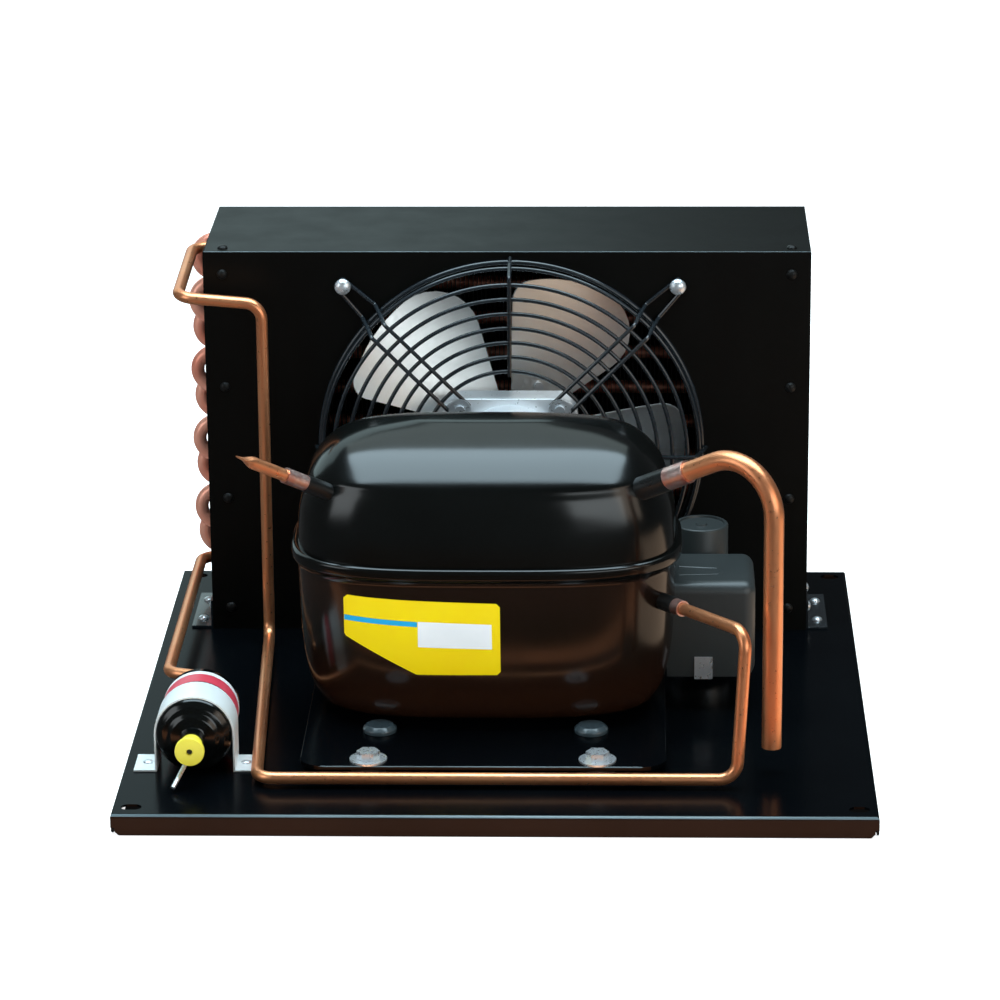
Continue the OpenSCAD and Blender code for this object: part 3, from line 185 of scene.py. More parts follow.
@dataclass(frozen=True)
class Paint:
    """A sprayed finish: colour that varies a little, gloss, and a fine orange peel."""

    name: str
    colour: Colour
    # Second tone of the colour's clouds. In the finishes of the front bends and the tray's front, both tones
    # are painted highlight and painted reflection.
    worn_and_highlight: Colour
    roughness: float
    coat: float = 0.0
    peel: float = 0.05
    peel_scale: float = 900.0
    specular: float = 0.5

    def build(self) -> bpy.types.Material:
        """Makes the material.

        Returns:
            The material.
        """
        n = Nodes(self.name)
        n.colour(n.noise(CLOUD, 4.0), [(0.38, self.colour), (0.72, self.worn_and_highlight)])
        n.roughen(n.noise(SMEAR, 3.0, RUNS_DOWN), self.roughness, 0.94, 1.07)
        n.set(Coat_Weight=self.coat, Coat_Roughness=0.05, Specular_IOR_Level=self.specular)
        n.bump(n.noise(self.peel_scale, 1.0), self.peel, 0.0002)
        return n.material


@dataclass(frozen=True)
class Graded:
    """A sprayed finish whose colour changes with height, between low and high in millimetres; on the lower
    cup the brown bands are painted reflection.
    """

    name: str
    stops: tuple[tuple[float, Colour], ...]
    low: float
    high: float
    roughness: float
    peel: float = 0.02
    peel_scale: float = 900.0

    def build(self) -> bpy.types.Material:
        """Makes the material.

        Returns:
            The material.
        """
        n = Nodes(self.name)
        split = n.new("ShaderNodeSeparateXYZ")
        n.link(n.coords.outputs["Object"], split.inputs["Vector"])
        height = n.new("ShaderNodeMapRange")
        height.inputs["From Min"].default_value = self.low / 1000.0
        height.inputs["From Max"].default_value = self.high / 1000.0
        n.link(split.outputs["Z"], height.inputs["Value"])
        n.colour(height.outputs["Result"], list(self.stops))
        n.roughen(n.noise(SMEAR, 3.0, RUNS_DOWN), self.roughness, 0.85, 1.2)
        n.bump(n.noise(self.peel_scale, 1.0), self.peel, 0.0002)
        return n.material


@dataclass(frozen=True)
class Metal:
    """A bare metal: clouds of two tones, and fine drawn or brushed marks."""

    name: str
    colour: Colour
    dark: Colour
    roughness: float
    stretch: Point = (1, 1, 1)
    marks: float = 0.03
    tarnish: float = 40.0
    metallic: float = 1.0

    def build(self) -> bpy.types.Material:
        """Makes the material.

        Returns:
            The material.
        """
        n = Nodes(self.name)
        n.colour(n.noise(self.tarnish, 2.0), [(0.3, self.dark), (0.6, self.colour)])
        marks = n.noise(MARKS, 3.0, self.stretch)
        n.roughen(marks, self.roughness, 0.8, 1.25)
        n.set(Metallic=self.metallic)
        if self.marks > 0.0:
            n.bump(marks, self.marks, 0.00005)
        return n.material


@dataclass(frozen=True)
class Moulded:
    """A moulded plastic or rubber, or a printed sheet, with a fine grain."""

    name: str
    colour: Colour
    lit: Colour
    roughness: float
    grain: float = 0.03
    grain_scale: float = 1500.0
    specular: float = 0.5

    def build(self) -> bpy.types.Material:
        """Makes the material.

        Returns:
            The material.
        """
        n = Nodes(self.name)
        n.colour(n.noise(30.0, 3.0), [(0.35, self.colour), (0.7, self.lit)])
        n.roughen(n.noise(90.0, 2.0), self.roughness, 0.85, 1.2)
        n.set(Specular_IOR_Level=self.specular)
        n.bump(n.noise(self.grain_scale, 1.0), self.grain, 0.0001)
        return n.material


class Finish(Enum):
    """Every finish on the unit."""

    TRAY = Paint("tray_gloss_black", (0.0012, 0.0018, 0.0026), (0.002, 0.0028, 0.0036), 0.2,
                 peel=0.01, specular=0.04)
    # Painted reflection: brown on the tray's upright front faces, standing in for the warm surroundings that
    # it reflects.
    FLANGE = Paint("flange_painted_reflection", (0.014, 0.0056, 0.003), (0.02, 0.0078, 0.004), 0.3,
                   peel=0.01, specular=0.15)
    # Painted highlight: the pale line where the front bends of the tray, the case and the mount plate catch
    # the light.
    FOLD = Paint("fold_painted_highlight", (0.1, 0.135, 0.15), (0.17, 0.22, 0.24), 0.3, peel=0.02)
    CASE = Paint("case_satin_black", (0.0014, 0.0014, 0.0011), (0.002, 0.0021, 0.0017), 0.42,
                 peel=0.04, peel_scale=1400.0, specular=0.14)
    # Painted reflection: brown near the cup's bottom and just under the seam, black between and above.
    SHELL_LOW = Graded("cup_black_painted_reflection", ((0.0, (0.03, 0.0105, 0.0045)), (0.3, (0.016, 0.006, 0.003)),
                                           (0.6, (0.004, 0.003, 0.002)), (0.93, (0.011, 0.005, 0.003)),
                                           (1.0, (0.002, 0.0022, 0.002))), 26.0, 130.0, 0.16)
    SHELL = Paint("shell_gloss_black", (0.0016, 0.002, 0.0019), (0.003, 0.0036, 0.0034), 0.16, peel=0.02)
    WIRE = Paint("wire_gloss_black", (0.008, 0.01, 0.012), (0.018, 0.024, 0.03), 0.22, coat=0.3, peel=0.03)
    FIN = Paint("fin_black", (0.004, 0.0042, 0.0042), (0.009, 0.0095, 0.009), 0.5, peel=0.1)
    SCREW_BLACK = Paint("screw_black", (0.004, 0.0039, 0.0036), (0.008, 0.0078, 0.0075), 0.4,
                        peel=0.02, specular=0.2)
    BOOT = Moulded("stub_black", (0.004, 0.0042, 0.0042), (0.009, 0.0095, 0.0095), 0.3, grain=0.2)
    COPPER = Metal("drawn_copper", (0.94, 0.4, 0.19), (0.84, 0.31, 0.14), 0.34, tarnish=18.0, metallic=0.9)
    COIL_COPPER = Metal("coil_copper", (0.93, 0.42, 0.3), (0.8, 0.27, 0.18), 0.36, metallic=0.6)
    BRAZE = Metal("brazed_copper", (0.97, 0.72, 0.66), (0.86, 0.42, 0.36), 0.36, marks=0.3, tarnish=120.0)
    ZINC = Metal("zinc_plate", (0.86, 0.89, 0.92), (0.72, 0.76, 0.8), 0.3, marks=0.0, metallic=0.8)
    BLADE = Metal("polished_aluminium", (0.96, 0.97, 0.96), (0.86, 0.87, 0.86), 0.36, (1, 6, 1),
                  tarnish=12.0, metallic=0.9)
    MOTOR = Metal("motor_aluminium", (0.93, 0.95, 0.97), (0.84, 0.87, 0.9), 0.34,
                  marks=0.02, tarnish=12.0, metallic=0.5)
    PAD = Paint("pad_blue_grey", (0.045, 0.064, 0.074), (0.075, 0.105, 0.12), 0.25,
                coat=0.2, peel=0.04, specular=0.8)
    PLASTIC = Moulded("black_plastic", (0.0012, 0.0015, 0.0017), (0.002, 0.0024, 0.0026), 0.13,
                      grain=0.02, specular=0.35)
    RUBBER = Moulded("black_rubber", (0.012, 0.012, 0.012), (0.02, 0.02, 0.02), 0.7, grain=0.2)
    YELLOW = Moulded("yellow_plastic", (0.97, 0.58, 0.0), (0.98, 0.64, 0.0), 0.5, specular=0.06)
    STRAP = Metal("bright_strap", (0.95, 0.97, 0.97), (0.84, 0.87, 0.87), 0.38, tarnish=30.0, metallic=0.3)
    CORE = Moulded("desiccant", (0.6, 0.58, 0.5), (0.75, 0.73, 0.66), 0.9, grain=0.6)
    SHEET_YELLOW = Moulded("plate_yellow", (0.97, 0.67, 0.0), (0.98, 0.72, 0.0), 0.45,
                           grain=0.02, grain_scale=900.0, specular=0.12)
    SHEET_BLUE = Moulded("plate_blue", (0.0, 0.36, 0.68), (0.0, 0.42, 0.76), 0.4,
                         grain_scale=900.0, specular=0.3)
    SHEET_WHITE = Moulded("plate_white", (0.86, 0.87, 0.88), (0.93, 0.93, 0.94), 0.4,
                          grain_scale=900.0, specular=0.3)
    BAND_WHITE = Moulded("band_white", (0.82, 0.82, 0.82), (0.9, 0.9, 0.9), 0.35)
    BAND_RED = Moulded("band_red", (0.62, 0.04, 0.07), (0.75, 0.07, 0.11), 0.35)

    @property
    def material(self) -> bpy.types.Material:
        """The finish's one material, made when it is first asked for."""
        found = bpy.data.materials.get(self.value.name)
        return found if found is not None else self.value.build()


NODE_FINISHES: dict[Finish, tuple[str, ...]] = {
    Finish.TRAY: ("base_tray", "mount_plate"),
    Finish.CASE: ("case_shroud", "side_panel_left", "side_panel_right"),
    Finish.SHELL: ("shell_lower", "shell_upper", "filter_drier"),
    Finish.BOOT: ("suction_stub", "process_stub", "discharge_stub"),
    Finish.WIRE: ("guard_rings", "guard_ribs", "case_foot_left", "case_foot_right"),
    Finish.FIN: ("coil_fins",),
    Finish.SCREW_BLACK: ("shroud_screws",),
    Finish.COPPER: ("suction_line", "discharge_line", "liquid_line", "process_tube", "drier_outlet"),
    Finish.COIL_COPPER: ("coil_hairpins", "coil_return_bends"),
    Finish.BRAZE: ("braze_collars",),
    Finish.ZINC: ("coil_end_plate", "foot_screws", "guard_screws", "fan_motor_screws", "fan_shaft", "fan_hub",
                  "fan_rivets", "fan_nut", "mount_sleeves", "mount_bolts", "mount_washers", "mount_nuts",
                  "terminal_pins", "terminal_fence", "cover_clip", "capacitor_bracket", "clamp_rivets",
                  "pump_block", "pump_stator", "pump_rotor", "pump_springs", "drier_tail"),
    Finish.BLADE: ("fan_blades",),
    Finish.MOTOR: ("fan_motor", "fan_motor_end"),
    Finish.PAD: ("weld_pads",),
    Finish.PLASTIC: ("terminal_cover", "start_relay", "start_capacitor"),
    Finish.RUBBER: ("mount_grommets",),
    Finish.YELLOW: ("seal_cap",),
    Finish.STRAP: ("drier_clamp",),
    Finish.CORE: ("drier_core",),
}


def dress(piece: bpy.types.Object, finish: Finish) -> None:
    """Gives a piece one finish all over.

    Args:
        piece: A piece or a CAD node.
        finish: Its finish.
    """
    if piece.material_slots:
        for place in piece.material_slots:
            place.material = finish.material
    else:
        piece.data.materials.append(finish.material)


def begin() -> None:
    """Clears the selection before a new piece is made."""
    if bpy.context.object is not None and bpy.context.object.mode != "OBJECT":
        bpy.ops.object.mode_set(mode="OBJECT")
    bpy.ops.object.select_all(action="DESELECT")


def take(piece: bpy.types.Object) -> None:
    """Makes a piece the one that operators act on."""
    begin()
    bpy.context.view_layer.objects.active = piece
    piece.select_set(True)


def settle(piece: bpy.types.Object, name: str, finish: Finish, body: str = "frame",
           nodes: tuple[str, ...] = (), smooth: float = 35.0) -> bpy.types.Object:
    """Applies a piece's place, smooths it, dresses it and sets it on its body.

    Args:
        piece: The piece.
        name: Its name.
        finish: Its finish.
        body: The CAD body that it rides on.
        nodes: The CAD nodes that it stands for.
        smooth: The angle in degrees past which an edge stays sharp.

    Returns:
        The same piece.
    """
    take(piece)
    bpy.ops.object.transform_apply(location=True, rotation=True, scale=True)
    bpy.ops.object.shade_smooth_by_angle(angle=math.radians(smooth))
    piece.name = name
    piece.data.name = name
    dress(piece, finish)
    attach(piece, body)
    if nodes:
        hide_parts(*nodes)
    log.info("%s: %d faces", name, len(piece.data.polygons))
    return piece


def modified(piece: bpy.types.Object, kind: str, **values: object) -> None:
    """Adds a modifier to a piece and applies it.

    Args:
        piece: The piece.
        kind: The modifier's type.
        values: Its properties by name.
    """
    take(piece)
    modifier = piece.modifiers.new(kind.lower(), kind)
    for key, value in values.items():
        setattr(modifier, key, value)
    bpy.ops.object.modifier_apply(modifier=modifier.name)


def turned_out() -> None:
    """Turns every face of the mesh in edit mode outwards, and leaves edit mode."""
    bpy.ops.mesh.select_all(action="SELECT")
    bpy.ops.mesh.normals_make_consistent(inside=False)
    bpy.ops.object.mode_set(mode="OBJECT")


def rounded(piece: bpy.types.Object, chosen: Callable[[list[Vector]], bool], width: float,
            segments: int) -> None:
    """Rounds the edges of a piece that a test picks.

    Args:
        piece: The piece.
        chosen: The test of an edge's two ends.
        width: The bevel's width in millimetres.
        segments: Its steps.
    """
    take(piece)
    bpy.ops.object.mode_set(mode="EDIT")
    bpy.ops.mesh.select_mode(type="EDGE")
    bpy.ops.mesh.select_all(action="DESELECT")
    bpy.ops.object.mode_set(mode="OBJECT")
    for edge in piece.data.edges:
        edge.select = chosen([piece.data.vertices[i].co for i in edge.vertices])
    bpy.ops.object.mode_set(mode="EDIT")
    bpy.ops.mesh.bevel(offset=width / 1000.0, segments=segments, affect="EDGES")
    bpy.ops.mesh.select_mode(type="VERT")
    bpy.ops.object.mode_set(mode="OBJECT")


def outline(sides: int, power: float = 2.0) -> list[Pair]:
    """Gives a unit ring.

    Args:
        sides: Its points.
        power: 2 for a circle; a higher power is nearer a rectangle.

    Returns:
        The ring's points.
    """
    def bow(value: float) -> float:
        """Bows one coordinate of a circle out towards the rectangle."""
        return math.copysign(abs(value) ** (2.0 / power), value)
    turns = [2.0 * math.pi * i / sides for i in range(sides)]
    return [(bow(math.cos(a)), bow(math.sin(a))) for a in turns]


def lofted(rows: list[Point], sides: int = 64, power: float = 2.0,
           place: Matrix = Matrix.Identity(4)) -> bpy.types.Object:
    """Draws a ring up through rows and closes its ends.

    Args:
        rows: Height, half-width and half-depth of each ring, in millimetres.
        sides: Points of a ring.
        power: The ring's squareness, 2 for a circle.
        place: Where the piece stands, in metres.

    Returns:
        The new piece.
    """
    begin()
    bpy.ops.mesh.primitive_circle_add(vertices=sides, radius=1.0, fill_type="NOTHING")
    piece = bpy.context.object
    first = rows[0]
    for vertex, (x, y) in zip(piece.data.vertices, outline(sides, power)):
        vertex.co = (x * first[1] / 1000.0, y * first[2] / 1000.0, first[0] / 1000.0)
    bpy.ops.object.mode_set(mode="EDIT")
    bpy.ops.mesh.select_all(action="SELECT")
    for before, row in zip(rows, rows[1:]):
        rise = (row[0] - before[0]) / 1000.0
        bpy.ops.mesh.extrude_region_move(TRANSFORM_OT_translate={"value": (0.0, 0.0, rise)})
        bpy.ops.transform.resize(value=(row[1] / before[1], row[2] / before[2], 1.0),
                                 center_override=(0.0, 0.0, row[0] / 1000.0))
    bpy.ops.mesh.edge_face_add()
    bpy.ops.mesh.select_all(action="DESELECT")
    bpy.ops.object.mode_set(mode="OBJECT")
    for vertex in piece.data.vertices[:sides]:
        vertex.select = True
    bpy.ops.object.mode_set(mode="EDIT")
    bpy.ops.mesh.edge_face_add()
    turned_out()
    piece.data.transform(place)
    return piece


def turned(profile: list[Pair], sides: int = 64, place: Matrix = Matrix.Identity(4)) -> bpy.types.Object:
    """Turns a round piece.

    Args:
        profile: Height and radius of each ring, in millimetres.
        sides: Points of a ring.
        place: Where the piece stands, in metres.

    Returns:
        The new piece.
    """
    return lofted([(height, radius, radius) for height, radius in profile], sides, 2.0, place)


def routed(points: list[Point], bend: float, step: float = 7.5) -> list[Vector]:
    """Rounds a route's corners with arcs.

    Args:
        points: The route's corners in millimetres.
        bend: Bend radius in millimetres.
        step: Turn between two points of an arc, in degrees.

    Returns:
        The route's points in metres.
    """
    route = [metres(points[0])]
    for before, corner, after in zip(points, points[1:], points[2:]):
        u = (Vector(corner) - Vector(before)).normalized()
        v = (Vector(after) - Vector(corner)).normalized()
        turn = u.angle(v)
        side = (v - u * u.dot(v)).normalized()
        middle = Vector(corner) - u * bend * math.tan(turn / 2.0) + side * bend
        count = max(2, math.ceil(math.degrees(turn) / step))
        for k in range(count + 1):
            a = turn * k / count
            route.append((middle + bend * (u * math.sin(a) - side * math.cos(a))) / 1000.0)
    route.append(metres(points[-1]))
    return route


def swept(route: list[Vector], radius: float, capped: bool = True, rounds: int = 5) -> bpy.types.Object:
    """Draws a round rod along a route.

    Args:
        route: The route's points in metres.
        radius: The rod's radius in millimetres.
        capped: Whether its ends are closed.
        rounds: Fineness of the rod's section.

    Returns:
        The new piece.
    """
    begin()
    curve = bpy.data.curves.new("route", "CURVE")
    curve.dimensions = "3D"
    curve.bevel_depth = radius / 1000.0
    curve.bevel_resolution = rounds
    curve.use_fill_caps = capped
    spline = curve.splines.new("POLY")
    spline.points.add(len(route) - 1)
    for place, point in zip(spline.points, route):
        place.co = (*point, 1.0)
    piece = bpy.data.objects.new("route", curve)
    bpy.context.scene.collection.objects.link(piece)
    take(piece)
    bpy.ops.object.convert(target="MESH")
    bpy.ops.object.mode_set(mode="EDIT")
    bpy.ops.mesh.select_all(action="SELECT")
    bpy.ops.mesh.remove_doubles(threshold=MERGED)
    turned_out()
    return bpy.context.object


def joined(pieces: list[bpy.types.Object]) -> bpy.types.Object:
    """Joins pieces into the first.

    Args:
        pieces: The pieces.

    Returns:
        The one piece that is left.
    """
    begin()
    for piece in pieces:
        piece.select_set(True)
    bpy.context.view_layer.objects.active = pieces[0]
    bpy.ops.object.join()
    return pieces[0]


@dataclass(frozen=True)
class Softened:
    """A copy of a CAD node with rounded edges: all of them by width, or the bends round its top by fold. With
    a fold its front bend gets a painted highlight, and in the tray's finish its upright front gets a painted
    brown reflection.
    """

    node: str
    finish: Finish
    width: float = 0.0
    fold: float = 0.0
    angle: float = 40.0
    leaning: float = 0.25
    upright: float = 0.95

    def top_bends(self) -> Callable[[list[Vector]], bool]:
        """Reads the node's box, and gives the test that picks the bends round its top.

        Returns:
            The test of an edge's two ends.
        """
        low, high = (Vector(corner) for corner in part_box(self.node))

        def on_bend(ends: list[Vector]) -> bool:
            """Tells whether an edge lies on the top and on one of the four sides."""
            rims = ([e.x < low.x + NEAR for e in ends], [e.x > high.x - NEAR for e in ends],
                    [e.y < low.y + NEAR for e in ends], [e.y > high.y - NEAR for e in ends])
            return all(e.z > high.z - NEAR for e in ends) and any(all(rim) for rim in rims)

        return on_bend

    def paint_highlight_and_reflection(self, piece: bpy.types.Object) -> None:
        """Paints a highlight on the front bend, and a brown reflection on the tray's upright front faces.

        Args:
            piece: The copy.
        """
        # Material slots for the painted highlight on the front bend and the painted reflection on the tray's
        # front.
        worn_and_highlight, reflection_slot = 1, 2
        piece.data.materials.append(Finish.FOLD.material)
        piece.data.materials.append(Finish.FLANGE.material)
        for face in piece.data.polygons:
            # Faces that look forward and up, round the bend: painted highlight.
            if face.normal.y < -self.leaning and face.normal.z > self.leaning:
                face.material_index = worn_and_highlight
            # Upright front faces of the tray: painted brown reflection.
            elif face.normal.y < -self.upright and self.finish is Finish.TRAY:
                face.material_index = reflection_slot

    def build(self) -> bpy.types.Object:
        """Copies the node, merges it, rounds its edges and sets it in the node's place.

        Returns:
            The copy.
        """
        begin()
        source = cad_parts[self.node]
        piece = bpy.data.objects.new(self.node + "_eased", source.data.copy())
        bpy.context.scene.collection.objects.link(piece)
        take(piece)
        bpy.ops.object.mode_set(mode="EDIT")
        bpy.ops.mesh.select_all(action="SELECT")
        bpy.ops.mesh.remove_doubles(threshold=MERGED)
        bpy.ops.mesh.dissolve_limited(angle_limit=math.radians(1.0))
        bpy.ops.object.mode_set(mode="OBJECT")
        if self.fold > 0.0:
            rounded(piece, self.top_bends(), self.fold, 4)
        if self.width > 0.0:
            modified(piece, "BEVEL", width=self.width / 1000.0, segments=2, limit_method="ANGLE",
                     angle_limit=math.radians(self.angle), use_clamp_overlap=True)
        settle(piece, self.node + "_eased", self.finish, "frame", (self.node,))
        # Paints the highlight on the front bend and the brown reflection on the tray's front.
        if self.fold > 0.0:
            self.paint_highlight_and_reflection(piece)
        modified(piece, "WEIGHTED_NORMAL", keep_sharp=True, weight=80)
        return piece


@dataclass
class CompressorShell:
    """The compressor's two pressed cups, its rolled seam and the bare plate on its front.

    Lower and upper hold shares of a cup's height, half-width and half-depth. Rolled holds heights from the
    seam and shares of the rim, and crown heights over the top and shares of the half-width and half-depth.
    """

    middle: Point = (-9.0, -50.0, 25.0)
    seam: float = 111.0
    height: float = 192.0
    half_w: float = 123.5
    half_d: float = 76.0
    power: float = 3.2
    sides: int = 160
    steps: int = 5
    rim: float = 4.0
    lap: float = 2.0
    floor: tuple[Point, ...] = ((0, 0.3, 0.24), (0, 0.6, 0.48))
    lower: tuple[Point, ...] = ((0, 0.685, 0.55), (0.045, 0.85, 0.76), (0.117, 0.911, 0.865),
                                (0.225, 0.952, 0.93), (0.45, 0.984, 0.98), (0.9, 1, 1))
    rolled: tuple[Pair, ...] = ((-7.2, 0), (-6.4, 0.25), (-5.6, 0.7), (-4.6, 0.95), (-3.4, 1),
                                (0.4, 1), (1.3, 0.95), (2.2, 0.75), (2.8, 0.45), (2.9, 0.05))
    upper: tuple[Point, ...] = ((0, 1, 1), (0.2, 0.995, 0.985), (0.346, 0.984, 0.967), (0.506, 0.952, 0.94),
                                (0.6, 0.932, 0.905), (0.67, 0.907, 0.865), (0.79, 0.84, 0.72),
                                (0.877, 0.758, 0.55), (0.951, 0.6, 0.33), (1, 0.36, 0.15))
    crown: tuple[Point, ...] = ((0.25, 0.2, 0.08), (0.3, 0.05, 0.02))
    sheet_thick: float = 0.12
    plate_lift: float = 0.25
    print_lift: float = 0.5
    plate_corners: tuple[Pair, ...] = ((-99.6, 118.2), (1.2, 115.1), (1.4, 65.9), (-52.8, 65.7),
                                       (-99.5, 90.3))
    stripe_corners: tuple[Pair, ...] = ((-99.3, 104.4), (-52.0, 102.3), (-52.0, 98.9), (-99.3, 100.9))
    field_corners: tuple[Pair, ...] = ((-51.6, 102.6), (-4.2, 100.9), (-4.0, 84.0), (-51.6, 85.2))

    def smooth(self, shares: tuple[Point, ...]) -> list[Point]:
        """Rounds a table of shares with a curve through its rows.

        Args:
            shares: Height, width and depth shares.

        Returns:
            The finer table.
        """
        rows = [Vector(s) for s in shares]
        out = []
        for i in range(len(rows) - 1):
            a, b = rows[max(i - 1, 0)], rows[i]
            c, d = rows[i + 1], rows[min(i + 2, len(rows) - 1)]
            for k in range(self.steps):
                t = k / self.steps
                out.append(tuple(0.5 * ((2 * b) + (c - a) * t + (2 * a - 5 * b + 4 * c - d) * t * t
                                        + (3 * b - a - 3 * c + d) * t ** 3)))
        out.append(tuple(rows[-1]))
        return out

    def press(self, name: str, rows: list[Point], finish: Finish, node: str) -> None:
        """Presses one cup.

        Args:
            name: The piece's name.
            rows: Height, half-width and half-depth of its rings.
            finish: Its finish.
            node: The CAD node that it stands for.
        """
        stand = Matrix.Translation(metres(self.middle))
        settle(lofted(rows, self.sides, self.power, stand), name, finish, "frame", (node,), 60.0)

    def cups(self) -> None:
        """Presses the lower cup with its rolled rim, and the domed upper cup."""
        w, d, s = self.half_w, self.half_d, self.seam
        rise = self.height - s
        rows = [(z, a * w, b * d) for z, a, b in self.floor]
        rows += [(h * s, a * w, b * d) for h, a, b in self.smooth(self.lower)]
        rows += [(s + z, w + out * self.rim, d + out * self.rim) for z, out in self.rolled]
        self.press("shell_lower_pressed", rows, Finish.SHELL_LOW, "shell_lower")
        rows = [(s - self.lap, w, d)]
        rows += [(s + h * rise, a * w, b * d) for h, a, b in self.smooth(self.upper)]
        rows += [(self.height + z, a * w, b * d) for z, a, b in self.crown]
        self.press("shell_upper_pressed", rows, Finish.SHELL, "shell_upper")

    def front(self, x: float, z: float) -> float:
        """Finds the lower cup's front skin.

        Args:
            x: A place's X in millimetres.
            z: Its height in millimetres.

        Returns:
            The skin's Y in millimetres.
        """
        share = (z - self.middle[2]) / self.seam
        rows = self.smooth(self.lower)
        low = max((r for r in rows if r[0] <= share), key=lambda r: r[0])
        high = min((r for r in rows if r[0] > share), key=lambda r: r[0], default=low)
        t = 0.0 if high is low else (share - low[0]) / (high[0] - low[0])
        a = self.half_w * (low[1] + (high[1] - low[1]) * t)
        b = self.half_d * (low[2] + (high[2] - low[2]) * t)
        bow = max(0.0, 1.0 - abs((x - self.middle[0]) / a) ** self.power)
        return self.middle[1] - b * bow ** (1.0 / self.power)

    @staticmethod
    def trim(corners: tuple[Pair, ...], ease: float) -> None:
        """Cuts the flat sheet in edit mode to an outline, with its corners taken off.

        Args:
            corners: The outline's X and Z in millimetres, clockwise seen from the front.
            ease: Radius that a corner's cut stands for, in millimetres.
        """
        for i, (ax, az) in enumerate(corners):
            bx, bz = corners[(i + 1) % len(corners)]
            px, pz = corners[i - 1]
            length, back = math.hypot(bx - ax, bz - az), math.hypot(ax - px, az - pz)
            normal = Vector(((az - bz) / length, 0.0, (bx - ax) / length))
            corner = (normal + Vector(((pz - az) / back, 0.0, (ax - px) / back))).normalized()
            sink = ease * (1.0 / max(0.3, normal.dot(corner)) - 1.0)
            eased = (ax - corner.x * sink, 0.0, az - corner.z * sink)
            for point, side in (((ax, 0.0, az), normal), (eased, corner)):
                bpy.ops.mesh.select_all(action="SELECT")
                bpy.ops.mesh.bisect(plane_co=point, plane_no=side, clear_outer=True)

    def sheet(self, name: str, corners: tuple[Pair, ...], lift: float, finish: Finish, ease: float) -> None:
        """Lays a thin bare sheet on the lower cup's front.

        Args:
            name: The piece's name.
            corners: Its outline's X and Z in millimetres, clockwise seen from the front.
            lift: How far it stands off the cup in millimetres.
            finish: Its finish.
            ease: Radius of its corners in millimetres.
        """
        begin()
        xs, zs = [c[0] for c in corners], [c[1] for c in corners]
        bpy.ops.mesh.primitive_grid_add(x_subdivisions=60, y_subdivisions=36, size=1.0)
        piece = bpy.context.object
        for vertex in piece.data.vertices:
            vertex.co = ((vertex.co.x + 0.5) * (max(xs) - min(xs)) + min(xs),
                         0.0, (vertex.co.y + 0.5) * (max(zs) - min(zs)) + min(zs))
        bpy.ops.object.mode_set(mode="EDIT")
        self.trim(corners, ease)
        bpy.ops.object.mode_set(mode="OBJECT")
        for vertex in piece.data.vertices:
            x, z = vertex.co.x, vertex.co.z
            vertex.co = metres((x, self.front(x, z) - lift, z))
        modified(piece, "SOLIDIFY", thickness=self.sheet_thick / 1000.0, offset=1.0)
        take(piece)
        bpy.ops.object.mode_set(mode="EDIT")
        turned_out()
        settle(piece, name, finish)

    def build(self) -> None:
        """Builds the cups, then the bare plate: a yellow sheet, a blue stripe and a plain white field."""
        self.cups()
        self.sheet("name_plate", self.plate_corners, self.plate_lift, Finish.SHEET_YELLOW, 4.0)
        self.sheet("plate_stripe", self.stripe_corners, self.print_lift, Finish.SHEET_BLUE, 0.2)
        self.sheet("plate_field", self.field_corners, self.print_lift, Finish.SHEET_WHITE, 0.3)


